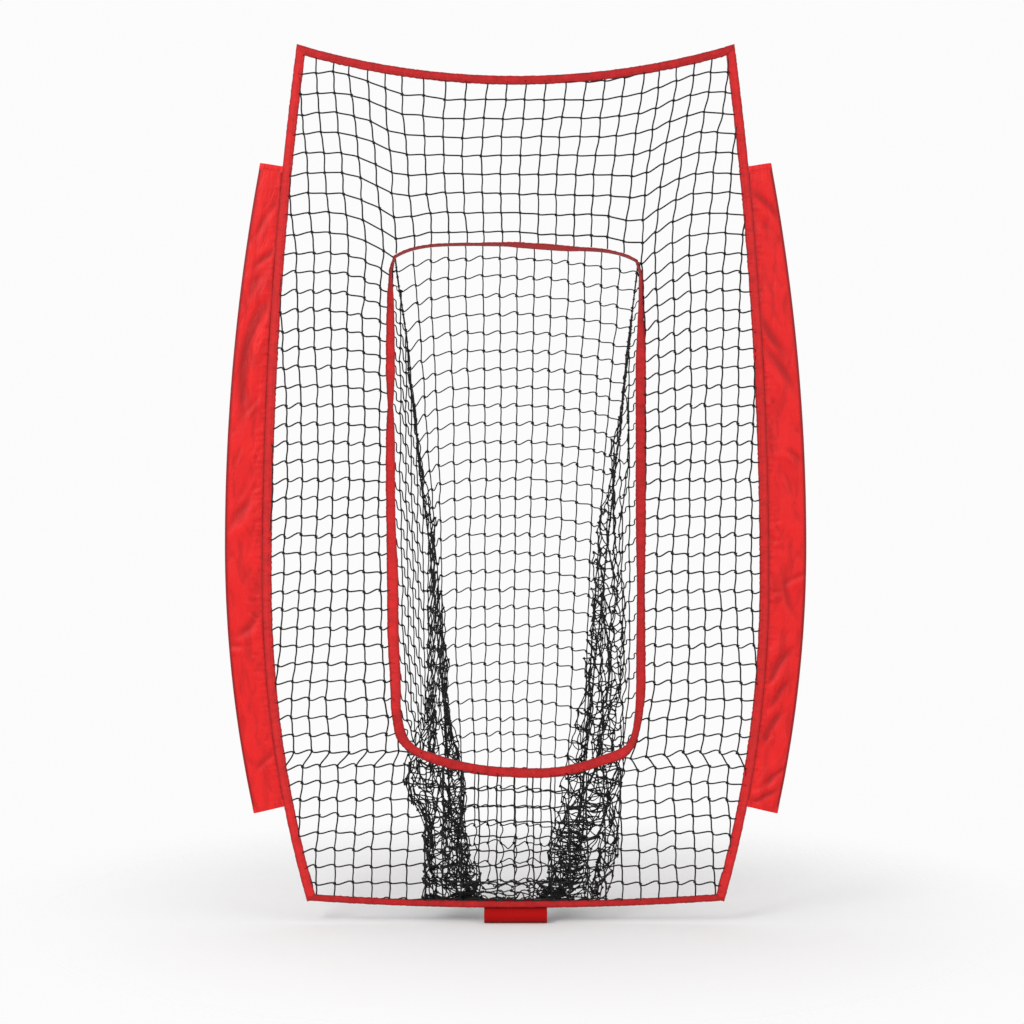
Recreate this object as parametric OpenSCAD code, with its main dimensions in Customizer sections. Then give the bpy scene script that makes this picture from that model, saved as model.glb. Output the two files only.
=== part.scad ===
// Pitching target net: a bow-sided net with pole sleeves, a framed mouth and a
// catch pocket behind it, held down by a wrap-round strap on a base tube.
// +X to the right, +Y to the back, +Z up. The origin is on the base tube's axis.

/* [Net outline] */
// Half width over the side bindings where the net is widest
side_half_w = 629; // [560:1:700]
// Height of the widest place
side_wide_z = 830; // [700:1:1000]
// Radius of the side edge above the widest place
side_r_up = 10320; // [9000:10:14000]
// Radius of the side edge below the widest place
side_r_low = 2884; // [2600:1:3600]
// Height of the top corners
top_corner_z = 2160; // [1960:1:2400]
// How far the top edge hangs down in the middle
top_sag = 78; // [50:1:110]
// How far the bottom edge hangs down in the middle
bottom_sag = 18; // [12:1:30]

/* [Binding tape] */
// Width of the folded tape on the sides
side_tape_w = 24; // [20:1:30]
// Width of the folded tape along the top
top_tape_w = 21; // [18:1:28]
// Width of the folded tape along the bottom
bottom_tape_w = 17; // [15:1:24]
// Width of the folded tape round the mouth
mouth_tape_w = 19; // [15:1:24]
// Thickness of one layer of tape
tape_t = 1; // [0.8:0.1:1.4]

/* [Netting] */
// Thickness of the twine
twine_d = 2.4; // [1.8:0.1:3.2]
// Spacing of the drawn twine lines
mesh_pitch = 112; // [104:2:150]
// Thickness of the cord that laces the pocket's edges
lacing_d = 4; // [3:0.2:6]

/* [Mouth] */
// Half width of the mouth
mouth_half_w = 301; // [260:1:340]
// Height of the mouth's upper edge
mouth_top_z = 1653; // [1500:1:1750]
// Height of the mouth's lower edge in the middle
mouth_bottom_z = 364; // [330:1:450]
// Radius of the mouth's lower edge
mouth_bottom_r = 620; // [520:1:800]
// Radius of the mouth's lower corners
mouth_corner_r = 110; // [80:1:140]
// Lean of the tape along the mouth's upper edge
mouth_top_lean = 58; // [40:1:75]

/* [Pocket] */
// Depth of the pocket at its lower rear edge
pocket_depth = 300; // [220:1:360]
// Height of the pocket's lower rear edge
pocket_low_z = 230; // [190:1:280]
// Half width of the pocket at its lower rear edge
pocket_low_half_w = 168; // [140:1:200]

/* [Pole sleeves] */
// Half width over the sleeves where they are widest
sleeve_half_w = 721; // [700:1:760]
// Height of the sleeves' widest place
sleeve_wide_z = 917; // [850:1:1000]
// Radius of the sleeve's outer edge above the widest place
sleeve_r_up = 5166; // [4800:1:6000]
// Radius of the sleeve's outer edge below the widest place
sleeve_r_low = 3100; // [2800:1:3600]
// Height of the sleeve's lower end at its outer edge
sleeve_low_z = 253; // [220:1:300]
// Height of the sleeve's upper end at its outer edge
sleeve_top_z = 1865; // [1780:1:1900]
// Radius of the round channel that the pole runs in
pole_channel_r = 7; // [6:0.2:9]
// Thickness of the sleeve cloth
cloth_t = 1.2; // [0.8:0.1:1.6]
// Height of the sleeve's soft folds
fold_h = 2.2; // [0:0.1:3]

/* [Corner fittings] */
// Radius of the bore in a pole pocket
pole_bore_r = 6.6; // [5.5:0.1:8]
// Length of a pole pocket's bore
pole_bore_l = 46; // [35:1:60]
// Thickness of a pole pocket's wall
pole_pocket_t = 1.3; // [1:0.1:2]
// Thickness of the elastic cord in a corner loop
loop_cord_d = 5; // [4:0.2:6]
// Width of a corner loop between the middles of its legs
loop_w = 20; // [18:0.5:26]
// Length of a corner loop between the middles of its ends
loop_l = 46; // [38:1:60]
// Height of a corner loop's pivot
loop_pivot_z = 64; // [60:1:80]

/* [Base strap] */
// Radius of the base tube that the strap wraps
base_tube_r = 15.9; // [14:0.1:19]
// Width of the strap along the tube
strap_w = 156; // [120:1:200]
// Thickness of the strap
strap_t = 2; // [1.6:0.1:2.6]
// Height of the strap's overlap behind the bottom binding
strap_tab_h = 21; // [16:1:26]
// Thickness of the hook patch and of the loop patch
patch_t = 1.5; // [1:0.1:2]

/* [Hidden] */
left = -1;
right = 1;
far = 4000;
red = [0.84, 0.07, 0.09];
dark_red = [0.68, 0.05, 0.07];
black = [0.06, 0.06, 0.065];

// Gap at a sewn seam, and round what turns or slides
seam_gap = 0.3;
slot_gap = 0.2;
// How far the fold of a tape stands in front of the twine's cut ends
fold_room = 5;
binding_t = twine_d + 2 * slot_gap + 2 * tape_t;
slot_t = twine_d + 2 * slot_gap;
behind_binding = binding_t / 2 + slot_gap;

// The bottom edge clears the strap where it passes over the base tube
strap_r = base_tube_r + strap_t;
bottom_mid_z = strap_r + seam_gap;
bottom_corner_z = bottom_mid_z + bottom_sag;
top_mid_z = top_corner_z - top_sag;

// Half width of the bow-shaped side edge at height z
function side_x(z) = side_half_w - arc_drop(z - side_wide_z, z > side_wide_z ? side_r_up : side_r_low);
// Half width of the sleeve's outer edge at height z
function sleeve_x(z) = sleeve_half_w - arc_drop(z - sleeve_wide_z, z > sleeve_wide_z ? sleeve_r_up : sleeve_r_low);
function arc_drop(along, radius) = radius - sqrt(radius * radius - along * along);
function sag_radius(half, sag) = (half * half + sag * sag) / (2 * sag);

top_edge_r = sag_radius(side_x(top_corner_z), top_sag);
bottom_edge_r = sag_radius(side_x(bottom_corner_z), bottom_sag);

// ---- flat shapes, drawn in x and z ----

module plate(thick) {
    rotate([90, 0, 0]) linear_extrude(height = thick, center = true) children();
}

module side_half(inset, radius) {
    intersection() {
        for (s = [left, right])
            intersection_for (side = [left, right])
                translate([side * (side_half_w - radius), side_wide_z]) circle(r = radius - inset, $fn = 720);
        children();
    }
}

module inside_sides(inset) {
    side_half(inset, side_r_up) translate([-far, side_wide_z]) square([2 * far, far]);
    side_half(inset, side_r_low) translate([-far, side_wide_z - far]) square([2 * far, far]);
}

// The net's outline, drawn in from its outer edges by the three insets
module outline(side_in, top_in, bottom_in) {
    intersection() {
        difference() {
            inside_sides(side_in);
            translate([0, top_mid_z + top_edge_r]) circle(r = top_edge_r + top_in, $fn = 360);
        }
        translate([0, bottom_mid_z + bottom_edge_r]) circle(r = bottom_edge_r - bottom_in, $fn = 720);
    }
}

mouth_arc_z = mouth_bottom_z + mouth_bottom_r;
mouth_corner_x = mouth_half_w - mouth_corner_r;
mouth_corner_angle = asin(mouth_corner_x / (mouth_bottom_r - mouth_corner_r));
mouth_corner_z = mouth_arc_z - (mouth_bottom_r - mouth_corner_r) * cos(mouth_corner_angle);

// The mouth's opening, grown by the width given
module mouth(grow) {
    translate([-mouth_half_w - grow, mouth_corner_z])
        square([2 * (mouth_half_w + grow), mouth_top_z + grow - mouth_corner_z]);
    for (side = [left, right])
        translate([side * mouth_corner_x, mouth_corner_z]) circle(r = mouth_corner_r + grow, $fn = 96);
    intersection() {
        translate([0, mouth_arc_z]) circle(r = mouth_bottom_r + grow, $fn = 180);
        polygon([
            [0, mouth_arc_z],
            [-mouth_bottom_r * tan(mouth_corner_angle) * 2, mouth_arc_z - 2 * mouth_bottom_r],
            [mouth_bottom_r * tan(mouth_corner_angle) * 2, mouth_arc_z - 2 * mouth_bottom_r]
        ]);
    }
}

// Twine lines of the flat front netting
module twine_lines() {
    columns = ceil(side_half_w / mesh_pitch);
    rows = ceil(top_corner_z / mesh_pitch);
    for (i = [-columns : columns - 1])
        translate([(i + 0.5) * mesh_pitch - twine_d / 2, 0]) square([twine_d, top_corner_z]);
    for (j = [0 : rows])
        translate([-side_half_w, j * mesh_pitch + bottom_corner_z + twine_line_rise]) square([2 * side_half_w, twine_d]);
}
twine_line_rise = 30;

// Front netting inside one window; its cut ends lie in the folded tapes
module front_netting() {
    plate(twine_d) intersection() {
        twine_lines();
        outline(fold_room, fold_room, fold_room);
        children();
    }
}

panel_seam_x = mouth_half_w + mouth_tape_w;
top_lean_rise = mouth_tape_w * cos(mouth_top_lean);
// Underside of the leaning tape, over the back face of the side tapes
under_top_tape_z = mouth_top_z + top_lean_rise
    - binding_t / 2 * (1 + cos(mouth_top_lean)) / sin(mouth_top_lean);
top_net_z = mouth_top_z + top_lean_rise + seam_gap;

module top_net() {
    color(black) front_netting()
        translate([-panel_seam_x, top_net_z]) square([2 * panel_seam_x, far]);
}

module bottom_net() {
    color(black) front_netting() difference() {
        translate([-panel_seam_x, 0]) square([2 * panel_seam_x, mouth_corner_z]);
        mouth(fold_room);
    }
}

module side_net(side) {
    inner = mouth_half_w + fold_room;
    color(black) front_netting() {
        difference() {
            mirror([side == left ? 1 : 0, 0]) translate([inner, 0]) square([far, far]);
            translate([-panel_seam_x - seam_gap, top_net_z - seam_gap])
                square([2 * (panel_seam_x + seam_gap), far]);
            translate([-panel_seam_x - seam_gap, 0])
                square([2 * (panel_seam_x + seam_gap), mouth_corner_z + seam_gap]);
        }
    }
}

// ---- folded tapes: a band with a slot for the netting along one edge ----

module folded_tape(cover, slot) {
    difference() {
        plate(binding_t) children(0);
        plate(slot_t) children(1);
    }
}

module side_binding(side) {
    color(red) folded_tape() {
        side_band(side, 0, side_tape_w);
        side_band(side, fold_room - seam_gap, side_tape_w + 1);
    }
}

module side_band(side, from, to) {
    intersection() {
        difference() {
            outline(from, from == 0 ? 0 : -1, from == 0 ? 0 : -1);
            inside_sides(to);
        }
        mirror([side == left ? 1 : 0, 0]) square([far, far]);
    }
}

module top_binding() {
    color(red) folded_tape() {
        top_band(0, top_tape_w);
        top_band(fold_room - seam_gap, top_tape_w + 1);
    }
}

module top_band(from, to) {
    difference() {
        outline(side_tape_w + seam_gap, from, 0);
        outline(0, to, -1);
    }
}

module bottom_binding() {
    color(red) folded_tape() {
        bottom_band(0, bottom_tape_w);
        bottom_band(fold_room - seam_gap, bottom_tape_w + 1);
    }
}

module bottom_band(from, to) {
    difference() {
        outline(side_tape_w + seam_gap, 0, from);
        outline(0, -1, to);
    }
}

module mouth_band(from, to) {
    difference() {
        mouth(to);
        mouth(from);
    }
}

module mouth_bottom_binding() {
    window = 2 * (panel_seam_x + mouth_tape_w);
    color(red) folded_tape() {
        intersection() {
            mouth_band(0, mouth_tape_w);
            translate([-window / 2, 0]) square([window, mouth_corner_z]);
        }
        intersection() {
            mouth_band(fold_room - seam_gap, mouth_tape_w + 1);
            translate([-window / 2, 0]) square([window, mouth_corner_z + 1]);
        }
    }
}

module mouth_side_binding(side) {
    low = mouth_corner_z + seam_gap;
    tall = under_top_tape_z - seam_gap - low;
    color(red) mirror([side == left ? 1 : 0, 0, 0]) folded_tape() {
        translate([mouth_half_w, low]) square([mouth_tape_w, tall]);
        translate([mouth_half_w + fold_room - seam_gap, low - 1]) square([mouth_tape_w, tall + 2]);
    }
}

// The upper tape leans back between the front netting and the pocket
module mouth_top_binding() {
    color(dark_red) translate([0, 0, mouth_top_z + top_lean_rise])
        rotate([mouth_top_lean, 0, 0])
            translate([-panel_seam_x, -binding_t / 2, -mouth_tape_w])
                difference() {
                    cube([2 * panel_seam_x, binding_t, mouth_tape_w]);
                    translate([-1, (binding_t - slot_t) / 2, fold_room])
                        cube([2 * panel_seam_x + 2, slot_t, mouth_tape_w]);
                }
}

// ---- pocket behind the mouth ----

// The gusset stands upright, from behind the mouth's side tape to the laced edge
gusset_front_y = binding_t / 2 + seam_gap + twine_d / 4;
gusset_front_x = mouth_half_w + mouth_tape_w / 2;
gusset_in = gusset_front_x - pocket_low_half_w;
gusset_back = pocket_depth - gusset_front_y;
gusset_w = norm([gusset_in, gusset_back]);
gusset_foot_z = bottom_corner_z + bottom_tape_w + 3 * seam_gap;
gusset_top_z = mouth_top_z - binding_t;

// The laced edge runs from the mouth's upper corner to the lower rear corner
pocket_seat = seam_gap + twine_d / 2;
pocket_top_y = (mouth_tape_w + pocket_seat) * sin(mouth_top_lean);
pocket_top_z = mouth_top_z - pocket_seat * cos(mouth_top_lean);
pocket_top_half_w = gusset_front_x - (pocket_top_y - gusset_front_y) * gusset_in / gusset_back;
pocket_fall = pocket_top_z - pocket_low_z;
pocket_run = pocket_depth - pocket_top_y;
pocket_back_l = norm([pocket_fall, pocket_run]);
pocket_back_lean = atan(pocket_run / pocket_fall);
lacing_inset = lacing_d / 2 + seam_gap + twine_d / 2;

// Netting between two straight lines: the columns fan out, the rows run across
module fan_netting(upper_half, lower_half, long, columns) {
    rows = max(1, round(long / mesh_pitch));
    for (i = [0 : columns]) {
        share = 2 * i / columns - 1;
        polygon([
            [share * upper_half - twine_d / 2, 0],
            [share * lower_half - twine_d / 2, -long],
            [share * lower_half + twine_d / 2, -long],
            [share * upper_half + twine_d / 2, 0]
        ]);
    }
    for (j = [0 : rows]) {
        half = upper_half + (lower_half - upper_half) * j / rows;
        low = -long * j / rows + (j == 0 ? -twine_d : (j == rows ? 0 : -twine_d / 2));
        translate([-half, low]) square([2 * half, twine_d]);
    }
}

module pocket_back_net() {
    color(black) translate([0, pocket_top_y, pocket_top_z]) rotate([pocket_back_lean, 0, 0])
        plate(twine_d)
            fan_netting(
                pocket_top_half_w - lacing_inset,
                pocket_low_half_w - lacing_inset,
                pocket_back_l,
                round(2 * pocket_top_half_w / mesh_pitch)
            );
}

module pocket_lacing(side) {
    across = pocket_top_half_w - pocket_low_half_w;
    long = norm([across, pocket_run, pocket_fall]);
    color(black) mirror([side == left ? 1 : 0, 0, 0])
        translate([pocket_low_half_w, pocket_depth, pocket_low_z])
            rotate([0, 0, atan2(-pocket_run, across)])
                rotate([0, acos(pocket_fall / long), 0])
                    cylinder(d = lacing_d, h = long - lacing_d, $fn = 16);
}

module pocket_gusset(side) {
    inset = lacing_d / 2 + 2 * seam_gap;
    rear = gusset_w - inset;
    top_share = (pocket_top_z - gusset_top_z) / pocket_fall;
    top_rear = gusset_w * (pocket_top_y - gusset_front_y + pocket_run * top_share) / gusset_back - inset;
    rows = round((gusset_top_z - gusset_foot_z) / mesh_pitch);
    columns = ceil(rear / mesh_pitch);
    color(black) mirror([side == left ? 1 : 0, 0, 0])
        translate([gusset_front_x, gusset_front_y, 0])
            rotate([0, 0, 180 - atan2(gusset_back, gusset_in)]) plate(twine_d)
                intersection() {
                    polygon([
                        [0, gusset_foot_z], [rear, pocket_low_z], [top_rear, gusset_top_z], [0, gusset_top_z]
                    ]);
                    union() {
                        for (i = [0 : columns])
                            translate([i * rear / columns - (i == columns ? twine_d : 0), 0])
                                square([twine_d, top_corner_z]);
                        for (j = [0 : rows])
                            translate([0, gusset_foot_z + j * (gusset_top_z - gusset_foot_z) / rows])
                                square([rear, twine_d]);
                        edge_line([0, gusset_foot_z], [rear, pocket_low_z], 1);
                        edge_line([rear, pocket_low_z], [top_rear, gusset_top_z], 1);
                    }
                }
}

// One twine line from a to b, on its left-hand side
module edge_line(a, b, side) {
    run = b - a;
    across = [-run[1], run[0]] * twine_d / norm(run) * side;
    polygon([a, b, b + across, a + across]);
}

module pocket_floor_net() {
    front_y = gusset_front_y;
    run = pocket_depth - front_y - lacing_d;
    rise = pocket_low_z - gusset_foot_z - lacing_d;
    color(black) translate([0, front_y + run, gusset_foot_z + rise])
        rotate([-atan(run / rise), 0, 0]) plate(twine_d)
            fan_netting(
                pocket_low_half_w - lacing_inset,
                gusset_front_x - lacing_inset,
                norm([run, rise]),
                4
            );
}

// ---- pole sleeves: a folded cloth tube, open at both ends ----

sleeve_rings = 26;
sleeve_seam_t = 3;
sleeve_low_rise = 17;
sleeve_top_drop = 8;
bulge_r = pole_channel_r + cloth_t;
bulge_angles = [-112, -75, -38, 0, 38, 75, 112];

// Half thickness of the cloth tube at share u from the seam to the pole channel
function sleeve_half_t(u, z) =
    sleeve_seam_t / 2 + (bulge_r - sleeve_seam_t / 2) * u
    + fold_h * sin(180 * u) * sin(z * 0.9 + u * 150);

// Height of ring k, where in_share is 1 at the seam and 0 at the pole channel
function ring_z(k, in_share) =
    let (up = k / sleeve_rings)
    sleeve_low_z + (sleeve_top_z - sleeve_low_z) * up
    + in_share * (sleeve_low_rise * (1 - up) - sleeve_top_drop * up);

// Ring k of the tube, drawn in by the cloth for its inner face
function sleeve_ring(k, inset) =
    let (
        flat = [for (u = [0, 0.3, 0.62, 0.9])
            let (z = ring_z(k, 1 - u), inner = side_x(z) + 2 * seam_gap + inset * 4)
            [inner + (sleeve_x(z) - bulge_r - inner) * u, sleeve_half_t(u, z) - inset, z]],
        z = ring_z(k, 0),
        middle = sleeve_x(z) - bulge_r,
        round_part = [for (a = bulge_angles)
            [middle + (bulge_r - inset) * cos(a), (bulge_r - inset) * sin(a), z]]
    )
    concat([for (p = flat) [p[0], -p[1], p[2]]], round_part, [for (i = [3 : -1 : 0]) flat[i]]);

module sleeve(side) {
    count = 2 * 4 + len(bulge_angles);
    skins = [0, cloth_t];
    points = [for (inset = skins) for (k = [0 : sleeve_rings]) each sleeve_ring(k, inset)];
    skin = count * (sleeve_rings + 1);
    last = count * sleeve_rings;
    walls = [for (k = [0 : sleeve_rings - 1]) for (i = [0 : count - 1])
        let (a = k * count + i, b = k * count + (i + 1) % count)
        each [[a, a + count, b], [b, a + count, b + count]]];
    ends = [for (i = [0 : count - 1])
        let (j = (i + 1) % count)
        each [
            [i, j, skin + i], [j, skin + j, skin + i],
            [last + i, skin + last + i, last + j], [last + j, skin + last + i, skin + last + j]
        ]];
    inner = [for (face = walls) [skin + face[0], skin + face[2], skin + face[1]]];
    color(red) mirror([side == left ? 1 : 0, 0, 0])
        polyhedron(points = points, faces = concat(walls, ends, inner));
}

// ---- corner fittings ----

// A sewn cup behind a top corner, lying along the side binding
module pole_pocket(side) {
    outer_r = pole_bore_r + pole_pocket_t;
    long = pole_bore_l + pole_pocket_t;
    base_z = top_corner_z - long - 14;
    mid_z = base_z + long / 2;
    lean = asin((mid_z - side_wide_z) / side_r_up);
    wing_t = 1.2;
    axis_y = behind_binding + wing_t / 2 + outer_r;
    color(black) mirror([side == left ? 1 : 0, 0, 0])
        translate([side_x(mid_z) - side_tape_w / 2, 0, mid_z]) rotate([0, -lean, 0])
            translate([0, 0, -long / 2]) difference() {
                union() {
                    translate([0, axis_y, 0]) cylinder(r = outer_r, h = long, $fn = 64);
                    translate([-side_tape_w / 2 + 1, behind_binding, 0])
                        cube([side_tape_w - 2, wing_t, long]);
                    translate([-outer_r * 0.7, behind_binding, 0])
                        cube([2 * outer_r * 0.7, axis_y - behind_binding, long]);
                }
                translate([0, axis_y, -1]) cylinder(r = pole_bore_r, h = pole_bore_l + 1, $fn = 64);
            }
}

loop_lean = asin((side_wide_z - loop_pivot_z) / side_r_low);
loop_pivot_x = side_x(loop_pivot_z) - side_tape_w / 2;
loop_tab_t = 1.1;
loop_tab_w = 8;
loop_eye_r = loop_cord_d / 2 + seam_gap;
loop_pivot_y = behind_binding + loop_tab_t + loop_eye_r;
loop_bend_r = 5;

module at_loop_pivot(side) {
    mirror([side == left ? 1 : 0, 0, 0])
        translate([loop_pivot_x, loop_pivot_y, loop_pivot_z]) rotate([0, loop_lean, 0]) children();
}

module cord_bend(radius, from, sweep) {
    rotate([90, 0, 0]) rotate([0, 0, from]) rotate_extrude(angle = sweep, $fn = 64)
        translate([radius, 0]) circle(d = loop_cord_d, $fn = 32);
}

// An endless elastic loop that turns in its webbing tab
module corner_loop(side) {
    leg_x = loop_w / 2;
    leg_l = loop_l - loop_bend_r - leg_x;
    bar = loop_w - 2 * loop_bend_r;
    color(black) at_loop_pivot(side) {
        translate([-bar / 2, 0, 0]) rotate([0, 90, 0]) cylinder(d = loop_cord_d, h = bar, $fn = 32);
        for (s = [left, right])
            translate([s * leg_x, 0, loop_bend_r]) cylinder(d = loop_cord_d, h = leg_l, $fn = 32);
        translate([bar / 2, 0, loop_bend_r]) cord_bend(loop_bend_r, -90, 90);
        translate([-bar / 2, 0, loop_bend_r]) cord_bend(loop_bend_r, 180, 90);
        translate([0, 0, loop_bend_r + leg_l]) cord_bend(leg_x, 0, 180);
    }
}

module loop_tabs() {
    color(dark_red) for (side = [left, right]) at_loop_pivot(side) {
        eye_r = loop_eye_r + loop_tab_t;
        tail_l = 15;
        difference() {
            union() {
                rotate([0, 90, 0]) cylinder(r = eye_r, h = loop_tab_w, center = true, $fn = 48);
                translate([-loop_tab_w / 2, -eye_r, -tail_l]) cube([loop_tab_w, loop_tab_t, tail_l]);
            }
            rotate([0, 90, 0]) cylinder(r = loop_eye_r, h = loop_tab_w + 2, center = true, $fn = 48);
        }
    }
}

// ---- base strap, drawn in y and z and run along x ----

strap_top_angle = acos((behind_binding + strap_t) / base_tube_r);
strap_end_angle = 283;
hinge_gap_angle = 0.8;
flap_end_angle = 395;
tab_root_z = (base_tube_r + strap_r) / 2 * sin(strap_top_angle);
tab_foot_z = strap_r * sin(strap_top_angle);
tab_top_z = tab_foot_z + strap_tab_h;
hook_y = behind_binding + strap_t;
loop_y = hook_y + patch_t + seam_gap;
flap_tab_y = loop_y + patch_t;
patch_low_z = tab_foot_z + 2;

module along_tube(wide) {
    translate([-wide / 2, 0, 0]) rotate([90, 0, 90]) linear_extrude(height = wide) children();
}

module strap_arc(from, to) {
    reach = 3 * strap_r;
    middle = (from + to) / 2;
    intersection() {
        difference() {
            circle(r = strap_r, $fn = 96);
            circle(r = base_tube_r, $fn = 96);
        }
        polygon([
            [0, 0],
            [reach * cos(from), reach * sin(from)],
            [reach * cos((from + middle) / 2), reach * sin((from + middle) / 2)],
            [reach * cos(middle), reach * sin(middle)],
            [reach * cos((to + middle) / 2), reach * sin((to + middle) / 2)],
            [reach * cos(to), reach * sin(to)]
        ]);
    }
}

module base_strap() {
    color(red) along_tube(strap_w) {
        strap_arc(strap_top_angle, strap_end_angle);
        translate([behind_binding, tab_root_z]) square([strap_t, tab_top_z - tab_root_z]);
    }
}

module strap_hook_patch() {
    color(black) along_tube(strap_w - 6)
        translate([hook_y, patch_low_z]) square([patch_t, tab_top_z - patch_low_z]);
}

module strap_loop_patch() {
    color(black) along_tube(strap_w - 6)
        translate([loop_y, patch_low_z]) square([patch_t, tab_top_z - patch_low_z]);
}

// The flap follows the tube's back, then closes on the strap's overlap
module strap_flap() {
    bend = flap_end_angle - 360;
    color(red) along_tube(strap_w) {
        strap_arc(strap_end_angle + hinge_gap_angle, flap_end_angle);
        polygon([
            [base_tube_r * cos(bend), base_tube_r * sin(bend)],
            [strap_r * cos(bend), strap_r * sin(bend)],
            [flap_tab_y + strap_t, patch_low_z],
            [flap_tab_y + strap_t, tab_top_z],
            [flap_tab_y, tab_top_z],
            [flap_tab_y, patch_low_z]
        ]);
    }
}

top_net();
side_net(left);  // left_net
side_net(right);  // right_net
bottom_net();
top_binding();
bottom_binding();
side_binding(left);  // left_binding
side_binding(right);  // right_binding
mouth_top_binding();
mouth_bottom_binding();
mouth_side_binding(left);  // mouth_left_binding
mouth_side_binding(right);  // mouth_right_binding
sleeve(left);  // left_sleeve
sleeve(right);  // right_sleeve
pocket_back_net();
pocket_gusset(left);  // pocket_left_gusset
pocket_gusset(right);  // pocket_right_gusset
pocket_floor_net();
pocket_lacing(left);  // pocket_left_lacing
pocket_lacing(right);  // pocket_right_lacing
pole_pocket(left);  // top_left_pole_pocket
pole_pocket(right);  // top_right_pole_pocket
corner_loop(left);  // bottom_left_loop
corner_loop(right);  // bottom_right_loop
loop_tabs();
base_strap();
strap_flap();
strap_hook_patch();
strap_loop_patch();
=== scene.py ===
import math

import bmesh
import bpy
import mathutils
import numpy as np
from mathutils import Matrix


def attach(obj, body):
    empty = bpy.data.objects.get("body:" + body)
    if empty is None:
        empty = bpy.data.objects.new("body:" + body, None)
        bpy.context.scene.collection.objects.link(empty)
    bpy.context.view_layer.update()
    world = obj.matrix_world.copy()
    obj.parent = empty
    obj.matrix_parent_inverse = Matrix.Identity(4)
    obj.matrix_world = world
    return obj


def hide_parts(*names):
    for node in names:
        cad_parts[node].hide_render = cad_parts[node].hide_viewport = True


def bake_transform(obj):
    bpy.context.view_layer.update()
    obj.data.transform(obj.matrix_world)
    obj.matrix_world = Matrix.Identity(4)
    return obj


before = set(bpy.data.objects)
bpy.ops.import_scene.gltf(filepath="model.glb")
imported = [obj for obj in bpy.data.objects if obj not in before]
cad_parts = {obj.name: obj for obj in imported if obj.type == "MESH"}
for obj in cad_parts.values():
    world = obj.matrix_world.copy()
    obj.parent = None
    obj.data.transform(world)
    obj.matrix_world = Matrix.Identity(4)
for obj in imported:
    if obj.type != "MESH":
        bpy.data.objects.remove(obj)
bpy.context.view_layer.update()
chance = np.random.default_rng(417)
forward = np.array((0.0, -1.0, 0.0))    # towards the pitcher

# the net's outline: two bowed sides, a sagging top and a foot
outline = {
    "wide": .629, "wideHeight": .830, "upperBow": 10.320, "lowerBow": 2.884,
    "topMiddle": 2.082, "topBow": 1.928, "bottomMiddle": .0182, "bottomBow": 7.45,
    "topCorner": 2.160, "bottomCorner": .0362,
    "twineInSide": .011, "twineInTop": .010, "twineInFoot": .009,    # where the twine ends, inside the tapes
}
mouth = {
    "half": .3105, "top": 1.665, "topDrop": .032, "topHalf": .300, "shoulder": 1.600,
    "cornerX": .191, "cornerZ": .511, "cornerR": .1195, "cornerTurn": .375, "cornerEnd": .4003,
    "arcR": .6295, "arcZ": .984, "arcHalf": .2357, "foot": .3545,
}
# how far in from the outline the tapes hold the netting flat, and the area searched for the mouth's tape
covered = {"side": .026, "top": .022, "foot": .018, "mouth": .013, "margin": .020, "wide": .36, "high": 1.72}
# widths of the folded tapes, their thickness and stitches, and the spacing of the points along them
tapes = {
    "side": .024, "top": .022, "bottom": .017, "mouth": .0245, "thick": .0046,
    "stitch": .0031, "stitchGap": .0046, "stitchTwine": .00038, "step": .0055,
}
# how far the mouth hangs out of true; the pull on its left is (distance, height, half height)
hang = {
    "leftPull": [(.0125, .545, .13), (.0055, .80, .15), (.0045, .482, .032)],
    "footDrop": .0085, "footSag": .0100, "footTuck": .0055, "topDrop": .0115,
}


def ramp(values, start, span):
    # 0 up to start, 1 from start + span; with a negative span it falls instead
    return np.clip((values - start) / span, 0, 1)


def eased(share):
    return share * share * (3 - 2 * share)


def hump(values, middle, wide):
    return np.exp(-((values - middle) / wide)**2)


def xyz(x, y, z):
    # an array of points, from arrays and plain numbers
    return np.stack(np.broadcast_arrays(x, y, z), -1)


def bowedX(z, line):
    # a bowed side is widest at one height, with one arc above it and another below
    rise = np.asarray(z, float) - line["wideHeight"]
    bow = np.where(rise > 0, line["upperBow"], line["lowerBow"])
    return line["wide"] - (bow - np.sqrt(bow**2 - rise**2))


def edgeZ(x, middle, bow):
    return middle + bow - np.sqrt(bow**2 - np.asarray(x, float)**2)


def sideX(z):
    return bowedX(z, outline)


def topZ(x):
    return edgeZ(x, outline["topMiddle"], outline["topBow"])


def bottomZ(x):
    return edgeZ(x, outline["bottomMiddle"], outline["bottomBow"])


def mouthTop(x):
    return mouth["top"] - mouth["topDrop"] * (np.abs(x) / mouth["topHalf"])**6


def circleHalf(radius, middle, z):
    # half the width of a circle at a height
    return np.sqrt(np.clip(radius**2 - (middle - z)**2, 0, None))


def mouthHalf(z):
    z = np.asarray(z, float)
    shoulderTop = mouth["top"] - mouth["topDrop"]
    lean = ramp(z, mouth["shoulder"], shoulderTop - mouth["shoulder"])
    top = mouth["topHalf"] * ramp(z, mouth["top"], -mouth["topDrop"])**(1 / 6)
    corner = mouth["cornerX"] + circleHalf(mouth["cornerR"], mouth["cornerZ"], z)
    half = mouth["half"] - (mouth["half"] - mouth["topHalf"]) * lean
    half = np.where(z > shoulderTop, top, half)
    half = np.where(z < mouth["cornerZ"], corner, half)
    half = np.where(z < mouth["cornerEnd"], circleHalf(mouth["arcR"], mouth["arcZ"], z), half)
    return np.where((z > mouth["top"]) | (z < mouth["foot"]), 0, half)


def inNetting(points):
    x, z = np.abs(points[..., 0]), points[..., 2]
    inside = (z < topZ(x) - outline["twineInTop"]) & (z > bottomZ(x) + outline["twineInFoot"])
    return inside & (x < sideX(z) - outline["twineInSide"]) & (x > mouthHalf(z))


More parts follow.
